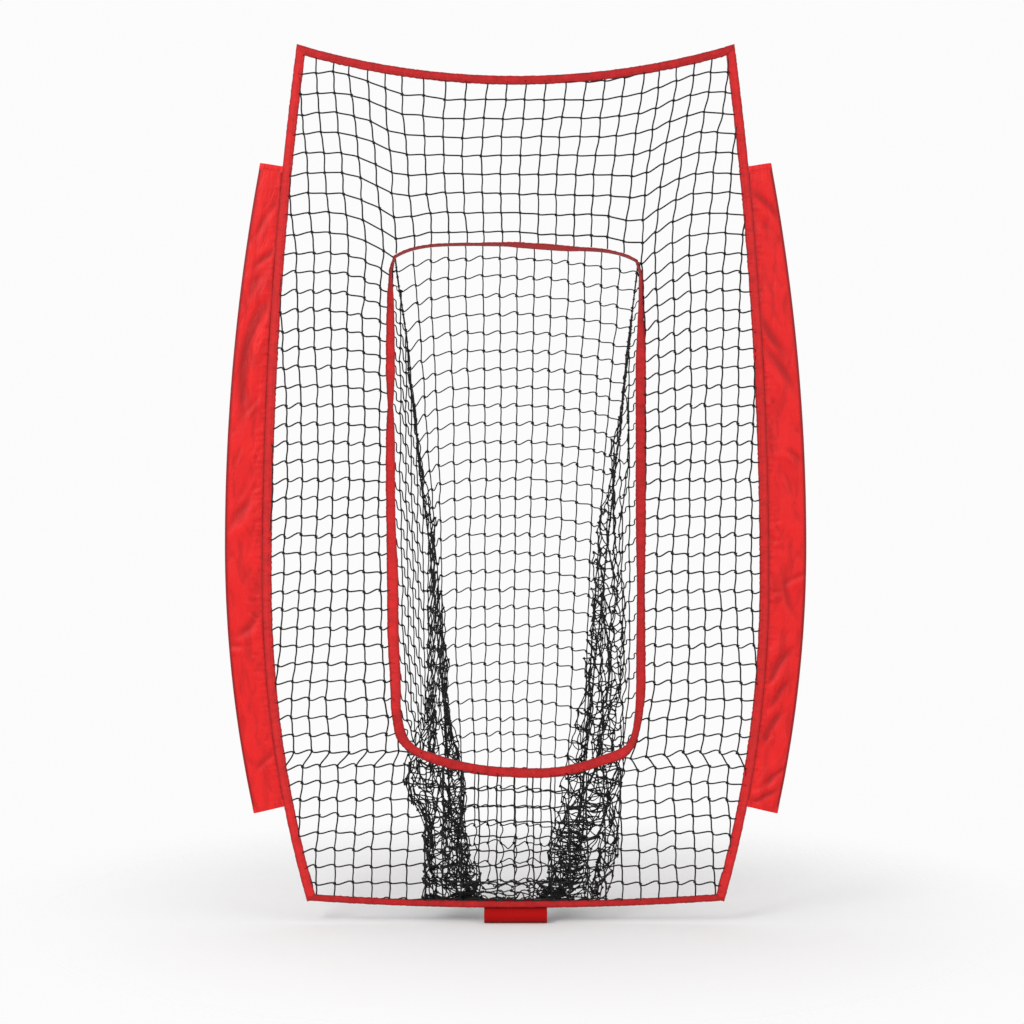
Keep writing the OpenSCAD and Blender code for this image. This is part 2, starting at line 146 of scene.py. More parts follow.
def cornerArc(turn):
    # the mouth's lower right corner
    radius = mouth["cornerR"]
    return xyz(mouth["cornerX"] + radius * np.cos(turn), 0, mouth["cornerZ"] + radius * np.sin(turn))


def rimLine():
    # x and height of points round the mouth
    z = np.linspace(mouth["cornerZ"], mouth["top"] - mouth["topDrop"], 160)
    side = xyz(mouthHalf(z), 0, z)
    corner = cornerArc(np.linspace(mouth["cornerTurn"] - math.pi / 2, 0, 24))
    x = np.linspace(0, mouth["topHalf"], 60)
    top = xyz(x, 0, mouthTop(x))
    x = np.linspace(0, mouth["arcHalf"], 50)
    foot = xyz(x, 0, mouth["arcZ"] - np.sqrt(mouth["arcR"]**2 - x**2))
    right = np.concatenate([side, corner, top, foot])
    return np.concatenate([right, right * (-1, 1, 1)])[:, ::2]


def nearTape(points):
    # 0 on a tape, rising to 1 a little way off it
    flatPoints = points.reshape(-1, 3)
    x, z = np.abs(flatPoints[:, 0]), flatPoints[:, 2]
    far = np.minimum(sideX(z) - covered["side"] - x, topZ(x) - covered["top"] - z)
    far = np.minimum(far, z - bottomZ(x) - covered["foot"])
    near = (x < covered["wide"]) & (z < covered["high"])
    gap = np.linalg.norm(flatPoints[near][:, None, ::2] - rimLine()[None], axis=-1).min(1)
    far[near] = np.minimum(far[near], gap - covered["mouth"])
    return eased(ramp(far, 0, covered["margin"])).reshape(points.shape[:-1])


def askew(points):
    # the mouth hangs a little out of true, and everything sewn to it goes with it
    points = np.array(points, float)
    x, z = points[..., 0].copy(), points[..., 2].copy()
    # the left side is pulled inwards low down
    pull = sum(far * hump(z, middle, wide) for far, middle, wide in hang["leftPull"]) * ramp(z, .36, .10)
    points[..., 0] += pull * ramp(x, -.46, .13) * ramp(x, -.17, -.10)
    # the right foot has dropped
    fade = ramp(x, .47, -.14) * np.where(z > .44, ramp(z, .60, -.16), ramp(z, .12, .24))
    sag = hang["footSag"] * hump(x, .287, .035) * hump(z, .420, .06)
    points[..., 2] -= (hang["footDrop"] * ramp(x, -.01, .12) + sag) * fade
    points[..., 0] -= hang["footTuck"] * hump(z, .492, .04) * ramp(x, .22, .06) * ramp(x, .46, -.13)
    # the right half of the top has dropped
    fade = np.where(z > 1.66, ramp(z, 1.88, -.22), ramp(z, 1.40, .26))
    points[..., 2] -= hang["topDrop"] * ramp(x, -.02, .16) * ramp(x, .43, -.13) * fade
    return points


# mesh making
def makeMesh(name, points, faces, uv, material):
    mesh = bpy.data.meshes.new(name)
    faces = faces.tolist() if isinstance(faces, np.ndarray) else faces
    mesh.from_pydata(askew(points).reshape(-1, 3).tolist(), [], faces)
    mesh.polygons.foreach_set("use_smooth", [True] * len(mesh.polygons))
    mesh.uv_layers.new(name="weave").data.foreach_set("uv", np.asarray(uv, np.float32).ravel())
    mesh.materials.append(material)
    piece = bpy.data.objects.new(name, mesh)
    bpy.context.scene.collection.objects.link(piece)
    return piece


def addPaintedShade(piece, paintedShadeMask):
    # how deep in a crease each point lies, and so how much painted shade it gets in the cloth's material,
    # with more along rolled edges, seams and puckers
    layer = piece.data.attributes.new("paintedShadeMask", "FLOAT", "POINT")
    layer.data.foreach_set("value", paintedShadeMask.ravel().astype(np.float32))


def tidyNormals(piece):
    shape = bmesh.new()
    shape.from_mesh(piece.data)
    bmesh.ops.recalc_face_normals(shape, faces=shape.faces)
    shape.to_mesh(piece.data)
    shape.free()


def cells(rings, around, closed):
    return np.meshgrid(np.arange(rings - 1), np.arange(around if closed else around - 1), indexing="ij")


def ringFaces(rings, around, closed=True):
    i, j = cells(rings, around, closed)
    nextJ = (j + 1) % around
    low, high = i * around, (i + 1) * around
    return np.stack([low + j, low + nextJ, high + nextJ, high + j], -1).reshape(-1, 4)


def gridUv(rings, around, along, girth, closed=True):
    # uv in metres: girth has one more value than there are points around
    i, j = cells(rings, around, closed)
    u = np.stack([girth[j], girth[j + 1], girth[j + 1], girth[j]], -1)
    v = np.stack([along[i], along[i], along[i + 1], along[i + 1]], -1)
    return np.stack([u, v], -1).reshape(-1, 4, 2)


def unit(v):
    return v / np.maximum(np.linalg.norm(v, axis=-1, keepdims=True), 1e-9)


def readOff(places, known, values):
    # the values given at the known places, read off at others
    return np.stack([np.interp(places, known, values[:, axis]) for axis in range(values.shape[1])], -1)


def tubeParts(curves, radius, sides):
    # points, faces and uv of a tube along each of the curves, an array of n curves by k points
    n, k = curves.shape[:2]
    tangent = unit(np.gradient(curves, axis=1))
    chord = np.abs(curves[:, -1] - curves[:, 0])
    aside = np.eye(3)[np.argmin(chord, axis=1)][:, None, :]
    first = unit(np.cross(tangent, aside))
    second = np.cross(tangent, first)
    angle = np.linspace(0, 2 * math.pi, sides, endpoint=False)[None, None, :, None]
    radius = np.broadcast_to(np.asarray(radius, float).reshape(-1, 1, 1, 1), (n, 1, 1, 1))
    outwards = np.cos(angle) * first[:, :, None] + np.sin(angle) * second[:, :, None]
    points = curves[:, :, None, :] + radius * outwards
    faces = (ringFaces(k, sides)[None] + (np.arange(n) * k * sides)[:, None, None]).reshape(-1, 4)
    runs = np.linalg.norm(np.diff(curves, axis=1), axis=-1)
    along = np.concatenate([np.zeros((n, 1)), np.cumsum(runs, axis=1)], axis=1)
    turn = np.arange(sides + 1) / sides
    u = np.stack([turn[:-1], turn[1:], turn[1:], turn[:-1]], -1)[None, None]
    v = np.stack([along[:, :-1], along[:, :-1], along[:, 1:], along[:, 1:]], -1)[:, :, None]
    uv = np.stack(np.broadcast_arrays(u, v), -1).reshape(-1, 4, 2)
    return points.reshape(-1, 3), faces, uv


def joinParts(parts):
    points, faces, uvs, start = [], [], [], 0
    for p, f, uv in parts:
        points.append(p)
        faces.append(f + start)
        uvs.append(uv)
        start += len(p)
    return np.concatenate(points), np.concatenate(faces), np.concatenate(uvs)


def makeJoined(name, parts, material):
    return makeMesh(name, *joinParts(parts), material)


# twine: bar is its length from knot to knot in the pocket, and handle how far a crosswise bar runs on beside
# its knots before it turns
twine = {
    "radius": .00190, "sides": 6, "pieces": 7, "pocketRadius": .00152, "pocketSides": 4, "pocketPieces": 9,
    "bar": .0485, "handle": .13, "knot": .0034, "knotTwine": .00135,
}


def knotParts(places):
    # a small sheet bend at each place, the same knot turned a little differently each time
    t = np.linspace(0, 2 * math.pi, 13)[:-1]
    path = xyz(np.sin(t) + 1.7 * np.sin(2 * t), .9 * np.sin(3 * t), np.cos(t) - 1.7 * np.cos(2 * t))
    path = path / np.abs(path).max() * twine["knot"]
    path = np.concatenate([path, path[:1]])[None]
    points, faces, uv = tubeParts(path, twine["knotTwine"], 4)
    n = len(places)
    spin, tilt = chance.uniform(0, 2 * math.pi, n), chance.normal(0, .35, n)
    c, s, ct, st = np.cos(spin), np.sin(spin), np.cos(tilt), np.sin(tilt)
    turn = np.zeros((n, 3, 3))
    turn[:, 0, 0], turn[:, 0, 2], turn[:, 2, 0], turn[:, 2, 2], turn[:, 1, 1] = c, s, -s, c, 1
    lean = np.zeros((n, 3, 3))
    lean[:, 0, 0], lean[:, 1, 1], lean[:, 1, 2], lean[:, 2, 1], lean[:, 2, 2] = 1, ct, -st, st, ct
    size = chance.uniform(.9, 1.15, n)[:, None, None]
    moved = np.einsum("nij,kj->nki", turn @ lean, points) * size + np.asarray(places)[:, None, :]
    allFaces = (faces[None] + (np.arange(n) * len(points))[:, None, None]).reshape(-1, 4)
    return moved.reshape(-1, 3), allFaces, np.tile(uv, (n, 1, 1))


def slackCurves(a, b, length, across, samples, wave=1.0, sag=.35, wild=0.0):
    # each bar of twine from a to b keeps its own length: what the knots leave over shows as waves and sag
    a, b = np.asarray(a, float), np.asarray(b, float)
    n = len(a)
    length, wave, sag, wild = (np.broadcast_to(np.asarray(v, float), (n,)) for v in (length, wave, sag, wild))
    chord = b - a
    far = np.linalg.norm(chord, axis=1)
    way = unit(chord)
    hang = across - (across * way).sum(1)[:, None] * way
    hang = unit(hang + 1e-6)
    side = np.cross(way, hang)
    turn = chance.normal(0, 1, n) * (.25 + wild)
    drop = unit(np.cos(turn)[:, None] * hang + np.sin(turn)[:, None] * side)
    other = chance.normal(0, 1, n) * (.3 + wild)
    swing = unit(np.cos(other)[:, None] * hang + np.sin(other)[:, None] * side)
    t = np.linspace(0, 1, samples + 1)[None, :, None]
    waves = (wave * (1 + .35 * chance.normal(size=n)))[:, None, None]
    sags = (sag * (1 + .5 * chance.normal(size=n)))[:, None, None]
    shape = waves * np.sin(2 * math.pi * t) * swing[:, None] + sags * np.sin(math.pi * t) * drop[:, None]
    line = a[:, None] + t * chord[:, None]
    # the waves' height is found by halving the range that it lies in
    low, high = np.zeros(n), np.full(n, .05)
    for _ in range(12):
        mid = (low + high) / 2
        bent = line + mid[:, None, None] * shape
        run = np.linalg.norm(np.diff(bent, axis=1), axis=-1).sum(1)
        low, high = np.where(run < length, mid, low), np.where(run < length, high, mid)
    keep = np.where(far < length, low, 0)
    return line + keep[:, None, None] * shape


def bentCurves(a, b, handle, drop, rise, samples, depth=.001):
    # crosswise bars leave their knots sideways: handle is how far each runs on before it turns, as a share of
    # the way to the next knot, drop is how far it dips after the first knot and rise how far it is up before
    # the second
    n = len(a)
    handle, drop, rise = (np.broadcast_to(np.asarray(v, float), (n,))[:, None] for v in (handle, drop, rise))
    ahead = (b - a) * (1.0, 1.0, 0)
    first = a + ahead * handle - drop * (0, 0, 1.0) + chance.normal(0, 1, a.shape) * (0, depth, depth * .4)
    second = b - ahead * handle + rise * (0, 0, 1.0) + chance.normal(0, 1, a.shape) * (0, depth, depth * .4)
    t = np.linspace(0, 1, samples + 1)[None, :, None]
    return ((1 - t)**3 * a[:, None] + 3 * (1 - t)**2 * t * first[:, None]
            + 3 * (1 - t) * t**2 * second[:, None] + t**3 * b[:, None])


def trimmed(curves, keepTest):
    # each curve is cut where it leaves the netting, a few millimetres inside the tape
    k = curves.shape[1]
    inside = keepTest(curves)
    whole = inside.all(axis=1)
    kept = [curves[whole]]
    for curve, ok in zip(curves[~whole], inside[~whole]):
        places = np.nonzero(ok)[0]
        first, last = (places[0], places[-1]) if len(places) else (0, 0)
        if last - first < 1:
            continue
        t = np.linspace(first, last, k)
        kept.append(readOff(t, np.arange(k), curve)[None])
    return np.concatenate(kept)


# materials
def newMaterial(name, colour, roughness):
    made = bpy.data.materials.new(name)
    made.use_nodes = True
    shader = made.node_tree.nodes["Principled BSDF"]
    shader.inputs["Base Color"].default_value = (*colour, 1)
    shader.inputs["Roughness"].default_value = roughness
    return made, made.node_tree, shader


def addNode(tree, kind, feeds=None, **settings):
    # feeds says what goes into each input: a plain value, or the socket that is linked to it
    node = tree.nodes.new(kind)
    for key, value in settings.items():
        setattr(node, key, value)
    for key, value in (feeds or {}).items():
        if isinstance(value, bpy.types.NodeSocket):
            tree.links.new(value, node.inputs[key])
        else:
            node.inputs[key].default_value = value
    return node


def calculate(tree, operation, *values):
    # one step of arithmetic on sockets and plain numbers
    return addNode(tree, "ShaderNodeMath", dict(enumerate(values)), operation=operation).outputs["Value"]


def mixColours(tree, share, first, second):
    feeds = {"Factor": share, 6: first, 7: second}
    return addNode(tree, "ShaderNodeMix", feeds, data_type="RGBA").outputs[2]


def scaledUv(tree, place, scale, turn=0):
    feeds = {"Vector": place.outputs["UV"], "Scale": scale, "Rotation": (0, 0, turn)}
    return addNode(tree, "ShaderNodeMapping", feeds).outputs["Vector"]


def noise(tree, vector, scale, detail, **more):
    feeds = {"Vector": vector, "Scale": scale, "Detail": detail, **more}
    return addNode(tree, "ShaderNodeTexNoise", feeds).outputs["Fac"]


bandScale = .314            # gives one band for each unit


def bands(tree, vector, direction, distortion=0):
    feeds = {"Vector": vector, "Scale": bandScale, "Distortion": distortion}
    wave = addNode(tree, "ShaderNodeTexWave", feeds, wave_type="BANDS", bands_direction=direction)
    return wave.outputs["Fac"]


def relief(tree, height, strength, distance, **more):
    feeds = {"Height": height, "Strength": strength, "Distance": distance, **more}
    return addNode(tree, "ShaderNodeBump", feeds).outputs["Normal"]


def mapRange(tree, value, interpolation="LINEAR", **limits):
    # limits are fromMin, fromMax, toMin and toMax
    names = {"fromMin": "From Min", "fromMax": "From Max", "toMin": "To Min", "toMax": "To Max"}
    feeds = {"Value": value, **{names[key]: limit for key, limit in limits.items()}}
    return addNode(tree, "ShaderNodeMapRange", feeds, interpolation_type=interpolation).outputs["Result"]


def clothMaterial(name, colour, roughness, thread, weave, patchy=.10, sheen=.2, blotch=9.0, shine=.3,
                  crumple=0):
    # thread is the spacing of the weave's threads, across and along; patchy is how much the dye varies
    made, tree, shader = newMaterial(name, colour, roughness)
    place = addNode(tree, "ShaderNodeTexCoord")
    # painted shade: darker where the cloth curls round its edge, away from the net's plane, and in the
    # creases, seams and puckers that the mesh marks
    facing = addNode(tree, "ShaderNodeSeparateXYZ", {0: place.outputs["Normal"]})
    level = calculate(tree, "POWER", calculate(tree, "ABSOLUTE", facing.outputs["Y"]), .7)
    edge = calculate(tree, "POWER", calculate(tree, "SUBTRACT", 1.0, level), 1.6)
    paintedShadeMask = addNode(tree, "ShaderNodeAttribute", attribute_name="paintedShadeMask")
    paintedShade = calculate(tree, "MAXIMUM", edge, paintedShadeMask.outputs["Fac"])
    under = {}
    if crumple:                          # soft crumples, longer than they are wide
        soft = noise(tree, scaledUv(tree, place, (38, 13, 1), .3), 1.0, 3.0, Roughness=.5, Distortion=.6)
        # painted shade in the crumples' hollows
        paintedHollowShade = mapRange(tree, soft, "SMOOTHSTEP", fromMin=.56, fromMax=.32, toMax=.34)
        paintedShade = calculate(tree, "MAXIMUM", paintedShade, paintedHollowShade)
        under["Normal"] = relief(tree, soft, crumple, .006)
    threads = scaledUv(tree, place, (1 / thread[0], 1 / thread[1], 1))
    height = calculate(tree, "MAXIMUM", bands(tree, threads, "X", .4), bands(tree, threads, "Y", .4))
    tree.links.new(relief(tree, height, weave, .0004, **under), shader.inputs["Normal"])
    wear = noise(tree, place.outputs["Object"], blotch, 5.0, Roughness=.65)
    dark = [c * (1 - patchy * 1.6) for c in colour]
    light = [min(1, c * (1 + patchy) + .004) for c in colour]
    tint = mixColours(tree, wear, (*dark, 1), (*light, 1))
    # the colour of the painted shade
    shaded = (colour[0] * .34, colour[1] * .5, colour[2] * .6, 1)
    tree.links.new(mixColours(tree, paintedShade, tint, shaded), shader.inputs["Base Color"])
    rough = mapRange(tree, wear, toMin=roughness - .08, toMax=roughness + .08)
    tree.links.new(rough, shader.inputs["Roughness"])
    shader.inputs["Sheen Weight"].default_value = sheen
    shader.inputs["Sheen Roughness"].default_value = .4
    shader.inputs["Specular IOR Level"].default_value = shine
    return made


def cordMaterial(name, colour, roughness, lay, strength):
    # twisted cord: the strands wind round it once in each lay
    made, tree, shader = newMaterial(name, colour, roughness)
    place = addNode(tree, "ShaderNodeTexCoord")
    strands = bands(tree, scaledUv(tree, place, (3, 3 / lay, 1)), "DIAGONAL")
    dust = noise(tree, place.outputs["Object"], 30.0, 3.0)
    light = [c * 1.8 + .0012 for c in colour]
    tree.links.new(mixColours(tree, dust, (*colour, 1), (*light, 1)), shader.inputs["Base Color"])
    tree.links.new(relief(tree, strands, strength, .0006), shader.inputs["Normal"])
    shader.inputs["Specular IOR Level"].default_value = .22
    return made


# the three tape colours after the first are copies of the one red tape: the two darker ones are painted
# shade, and the lighter one, for the mouth's top tape that is tipped back, is painted light
colours = {
    "twine": (.0040, .0040, .0046), "lacing": (.0040, .0040, .0045), "sleeve": (.87, .014, .015),
    "tape": (.76, .018, .019), "tapePaintedShade": (.61, .015, .017), "tapeFoot": (.53, .011, .013),
    "tapePaintedLight": (.92, .060, .062), "strap": (.40, .003, .0025), "webbing": (.014, .014, .016),
    "thread": (.40, .012, .012), "hook": (.016, .016, .017), "loop": (.020, .020, .022),
}
ribs = (.0030, .0013)       # of the grosgrain tapes
twineLook = cordMaterial("black twine", colours["twine"], .55, .007, .5)
lacingLook = cordMaterial("lacing cord", colours["lacing"], .5, .009, .6)
elasticLook = cordMaterial("black elastic cord", colours["webbing"], .6, .004, .6)
sleeveLook = clothMaterial("red oxford cloth", colours["sleeve"], .44, (.0009, .0009), .25, .10, .05, 14, .22,
                           crumple=1.0)
tapeLook = clothMaterial("red grosgrain tape", colours["tape"], .62, ribs, .5, .30, .10, 46, .25)
# copies of the same tape: painted shade in the next two, painted light in the third
tapePaintedShadeLook = clothMaterial("red grosgrain tape with painted shade", colours["tapePaintedShade"], .62, ribs, .5, .42, .08, 52, .22)
tapeFootPaintedShadeLook = clothMaterial("red grosgrain tape at the foot with painted shade", colours["tapeFoot"], .62, ribs, .5, .36, .08,
                             52, .22)
tapePaintedLightLook = clothMaterial("red tape with painted light", colours["tapePaintedLight"], .7, ribs, .5, .25, .1, 34)
strapLook = clothMaterial("red ribbed webbing", colours["strap"], .8, (.0042, .0012), .9, .10, 0, 12, .08)
webbingLook = clothMaterial("black webbing", colours["webbing"], .7, (.0016, .0011), .7, .2, .2)
threadLook = cordMaterial("red sewing thread", colours["thread"], .5, .002, .4)
hookLook = clothMaterial("black hook tape", colours["hook"], .75, (.0012, .0012), 1.0, .2, .1)
loopLook = clothMaterial("black loop tape", colours["loop"], .95, (.0007, .0007), 1.0, .3, .8)
print("materials made")

# the flat netting at the front
frontNet = {
    # heights of the rows of knots near the side tapes: (row, height)
    "rows": [(0, 2.1386), (1, 2.0915), (10, 1.6426), (20, 1.1714), (30, .7126), (36, .4472),
             (37, .4051), (38, .3704), (45, .0802), (46, .0380), (48, -.046)],
    # the columns: (height, sixth from the middle, seventh, eighth, spacing beyond it)
    "columns": [(2.027, .2931, .3336, .3757, .0422), (1.729, .2634, .3086, .3422, .0446),
                (1.526, .2600, .3105, .3435, .0409), (1.080, .2600, .3105, .3460, .0377),
                (.683, .2600, .3105, .3410, .0404), (.484, .2500, .3085, .3286, .0454),
                (.405, .2350, .2900, .3249, .0454), (.370, .2666, .3088, .3539, .0451),
                (.311, .2666, .3088, .3514, .0451), (.162, .2716, .3162, .3621, .0459)],
    # how far the rows have sunk beside the mouth's upper corner, in the middle above the mouth, and in the
    # middle below it: (height, drop)
    "dropCorner": [(2.16, .050), (2.09, .052), (1.90, .056), (1.70, .066), (1.62, .062),
                   (1.53, .047), (1.44, .035), (1.34, .025), (1.20, .014), (1.00, .0)],
    "dropMiddle": [(2.16, .070), (2.09, .069), (1.90, .0546), (1.70, .045)],
    "dropFoot": [(.340, .018), (.286, .017), (.250, .014), (.200, .010), (.160, .003), (.120, 0)],
    # how far the columns have been pulled sideways: (height, on the left, in the middle, on the right)
    "shift": [(2.067, .0067, .0273, .0236), (2.020, .0112, .0223, .0149), (1.968, .0124, .0161, .0089),
              (1.915, .0149, .0126, .0074), (1.866, .0131, .0099, .0050), (1.816, .0121, .0079, .0050),
              (1.764, .0099, .0092, .0037), (1.715, .0112, .0104, .0017), (1.650, .0150, .0104, .0020),
              (1.551, .0074, 0, .0062), (1.427, .0055, 0, .0102), (1.278, .0087, 0, .0099),
              (1.129, .0074, 0, .0124), (.980, .0042, 0, .0087), (.832, .0025, 0, .0050),
              (.683, .0012, 0, .0074), (.534, -.0055, 0, .0082), (.420, 0, -.002, 0),
              (.348, .0030, -.003, -.0087), (.286, .0012, -.003, -.0074), (.212, .0062, -.001, -.0089),
              (.137, .0032, -.003, -.0112), (.088, .0045, -.001, -.0062)],
    "unevenness": .0013, "looseness": .0015, "rowCount": 49, "columnsEachSide": 15,
    # how far the crosswise bars dip and rise beside their knots
    "liftTop": .0035, "liftSide": .0135, "liftFoot": .010,
}


def stations(place, pairs, column=1):
    ordered = sorted(pairs)
    return np.interp(place, [p[0] for p in ordered], [p[column] for p in ordered])


def frontKnots():
    rows = np.arange(frontNet["rowCount"])
    columns = np.arange(-frontNet["columnsEachSide"], frontNet["columnsEachSide"] + 1)
    level = stations(rows, frontNet["rows"])[:, None] * np.ones(len(columns))[None]
    count = np.abs(columns)[None] * np.ones(len(rows))[:, None]
    six, seven, eight, outer = (stations(level, frontNet["columns"], c) for c in (1, 2, 3, 4))
    x = np.where(count <= 6, six * count / 6, np.where(count < 8, seven, eight + (count - 8) * outer))
    corner = stations(level, frontNet["dropCorner"])
    middle = stations(level, frontNet["dropMiddle"])
    overMouth = middle + (corner - middle) * eased(ramp(x, .18, .13))
    above = np.where(x > .311, corner * ramp(x, .46, -.15)**1.6, overMouth)
    foot = stations(level, frontNet["dropFoot"]) * np.clip(1 - (x / .27)**2, 0, 1)
    z = level - np.where(level > 1.0, above, foot)
    # the twine dips a little more where it goes into the side tape
    edge = sideX(z) - tapes["side"] - x
    z = z - .007 * np.exp(-np.clip(edge, 0, None) / .014)
    knots = xyz(x * np.sign(columns), 0, z)
    left, middle, right = (stations(z, frontNet["shift"], c) for c in (1, 2, 3))
    outwards = ramp(x, .16, .15)
    knots[..., 0] += middle * (1 - outwards) + np.where(knots[..., 0] < 0, left, right) * outwards
    knots[..., 0] += chance.normal(0, frontNet["unevenness"], x.shape)
    knots[..., 2] += chance.normal(0, frontNet["unevenness"], x.shape)
    knots[..., 1] += chance.normal(0, frontNet["looseness"], x.shape) * ramp(edge, 0, .08)
    return knots


def frontBars():
    # the uprights hang almost straight; the crosswise bars dip after one knot and rise before the next
    knots = frontKnots()
    a, b = knots[:-1].reshape(-1, 3), knots[1:].reshape(-1, 3)
    far = np.linalg.norm(b - a, axis=1)
    upright = slackCurves(a, b, far * 1.0035, np.array((1.0, 0, 0)), twine["pieces"], .6, .8, .25)
    a, b = knots[:, :-1].reshape(-1, 3), knots[:, 1:].reshape(-1, 3)
    middle = (a + b) / 2
    x, z = np.abs(middle[:, 0]), middle[:, 2]
    beside = ramp(x, .30, .03) * ramp(z, 1.68, -.10)
    lift = frontNet["liftTop"] + (frontNet["liftSide"] - frontNet["liftTop"]) * beside
    lift = np.where((z < .40) & (x < .30), frontNet["liftFoot"], lift) * chance.uniform(.5, 1.5, len(a))
    level = bentCurves(a, b, twine["handle"], lift, lift, twine["pieces"], .0015)
    bars = trimmed(np.concatenate([upright, level]), inNetting)
    bars[..., 1] *= nearTape(bars)
    ties = knots.reshape(-1, 3)
    ties = ties[inNetting(ties)]
    ties[:, 1] *= nearTape(ties)
    return bars, ties


bars, ties = frontBars()


def areaOf(points):
    # 0 above the mouth, 1 left of it, 2 right of it, 3 below it
    x, z = points[:, 0], points[:, 2]
    return np.where(z > mouthTop(.24), 0, np.where(z < .372, 3, np.where(x < 0, 1, 2)))


barArea, tieArea = areaOf(bars[:, bars.shape[1] // 2]), areaOf(ties)
for number, node in enumerate(("top_net", "left_net", "right_net", "bottom_net")):
    tubes = tubeParts(bars[barArea == number], twine["radius"], twine["sides"])
    parts = [tubes, knotParts(ties[tieArea == number])]
    piece = makeJoined(node + "_twine", parts, twineLook)
    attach(piece, "net")
    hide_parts(node)
print("front netting: %d bars, %d knots" % (len(bars), len(ties)))

# the pocket
pocket = {
    "backTop": (.3037, .0174, 1.652), "backFoot": (.168, .300, .230),   # the laced edge
    "backRows": 31, "floorRows": 10, "backHalf": 7, "evenHalf": 5, "gussetCells": 23, "widenLow": .70,
    "lift": .0145, "gussetLift": .003, "handle": .95, "belly": .012,
    "closed": .034, "bulge": 40, "loosened": .3,
    # heights of the rows, down the back and down the mouth's side tapes: (row, height)
    "rows": [(0, 1.661), (1, 1.6331), (10, 1.2243), (20, .7537),
             (26, .460), (27, .4189), (28, .3752), (31, .2230)],
    "tapeRows": [(0, 1.628), (11, 1.2706), (29, .412)],
    # the spacing of the back's columns: (height, spacing)
    "pitch": [(1.55, .0425), (1.33, .0404), (1.08, .0389), (.68, .0377),
              (.48, .0363), (.31, .0342), (.16, .031)],
    # how far the back's columns have moved sideways: (height, distance)
    "backShift": [(.35, -.0040), (.66, -.0045), (.83, -.0025), (1.20, .0018), (1.45, .0034), (1.60, .0034)],
    "gather": (-.172, .160),    # where the back's netting comes forward to the bottom tape
    "tapeFall": .380, "lacedFall": .1908, "lowest": .034, "foremost": .0085,
    "settleSteps": 200, "tick": 1 / 90, "damping": .93, "sweeps": 12, "heap": 1.3,
    "seed": 5,           # another number gives another tangle
    # each half: its gusset's greatest width in meshes, how slowly it widens, how far the lacing bows inwards,
    # how far each row sinks at the lacing, the spacing and fall of the gusset's columns, and where the loose
    # netting beside the lacing bunches up: (height, outer edge, inner edge)
    "left": {
        "cells": 23, "widen": 1.55, "inward": .014, "inwardHigh": .009, "droop": (.048, 4.2),
        "pitch": .0130, "fall": .027, "narrower": 0,
        "bunch": [(1.122, .241, .236), (1.030, .2284, .216), (.919, .2218, .1987), (.782, .2218, .1866),
                  (.683, .223, .1825), (.5365, .2300, .1724), (.455, .2290, .1560), (.412, .2600, .1450),
                  (.385, .2767, .1410), (.316, .279, .1397), (.271, .2565, .1365), (.2265, .2293, .1344),
                  (.174, .2293, .1195), (.085, .2256, .095), (.0455, .223, .089)]},
    "right": {
        "cells": 20, "widen": 1.85, "inward": .002, "inwardHigh": 0, "droop": (.040, 2.2),
        "pitch": .0178, "fall": .0175, "narrower": .005,
        "bunch": [(1.300, .2760, .2735), (1.262, .2830, .2570), (1.174, .2790, .2415), (1.092, .2760, .228),
                  (.970, .2700, .2112), (.869, .2736, .1991), (.767, .2721, .1896), (.683, .2726, .1821),
                  (.571, .2747, .1749), (.435, .2706, .1471), (.3555, .2718, .1367), (.306, .2642, .1289),
                  (.204, .2618, .098), (.130, .2535, .0745), (.085, .248, .0563), (.0455, .230, .0486)]},
}
chance = np.random.default_rng(pocket["seed"])
rows = pocket["backRows"] + pocket["floorRows"]
rowNumbers = np.arange(rows + 1)
backWide = 2 * pocket["backHalf"] + 1
columns = backWide + 2 * (pocket["gussetCells"] + 1)
back0 = pocket["gussetCells"] + 1        # the first of the back's columns, on the left lacing
backLast = back0 + backWide - 1          # the last, on the right lacing
below = ramp(rowNumbers, pocket["backRows"], pocket["floorRows"])


def halfOf(side):
    return pocket["left" if side < 0 else "right"]


def lacingLine(z, side):
    half, top, foot = halfOf(side), np.array(pocket["backTop"]), np.array(pocket["backFoot"])
    t = ramp(z, top[2], foot[2] - top[2])
    line = top + (foot - top) * t[..., None]
    inward = half["inward"] * np.sin(math.pi * t) + half["inwardHigh"] * hump(t, .09, .11)
    line[..., 0] = (line[..., 0] - inward) * side
    return line


def tighten(place, free, groups, sweeps, most=1.0):
    # no bar of twine can stretch, and knots don't sit on one another
    for _ in range(sweeps):
        for a, b, longest, shortest, push in groups:
            gap = place[b] - place[a]
            far = np.linalg.norm(gap, axis=1) + 1e-9
            change = np.clip(far - longest * most, 0, None) + push * np.clip(far - shortest, None, 0)
            wa, wb = free[a].astype(float), free[b].astype(float)
            total = np.maximum(wa + wb, 1e-9)
            move = gap * (change / far)[:, None]
            place[a] += move * (wa / total)[:, None]
            place[b] -= move * (wb / total)[:, None]
        low = free & (place[:, 2] < pocket["lowest"])
        place[low, 2] = pocket["lowest"]
        front = free & (place[:, 1] < pocket["foremost"])
        place[front, 1] = pocket["foremost"]
    return place


def settle(place, free, groups):
    # the loose netting falls
    speed, tick = np.zeros_like(place), pocket["tick"]
    for _ in range(pocket["settleSteps"]):
        before = place.copy()
        speed[free, 2] -= 9.81 * tick
        place[free] += speed[free] * tick
        place = tighten(place, free, groups, pocket["sweeps"])
        speed = (place - before) / tick * pocket["damping"]
    return place


def drifting(wide):
    # a random line that wanders slowly from row to row
    spread = hump(np.arange(-5, 6), 0, 2.6)
    steps = chance.normal(0, 1, rows + len(spread))
    return np.convolve(steps, spread / np.linalg.norm(spread), "valid") * wide


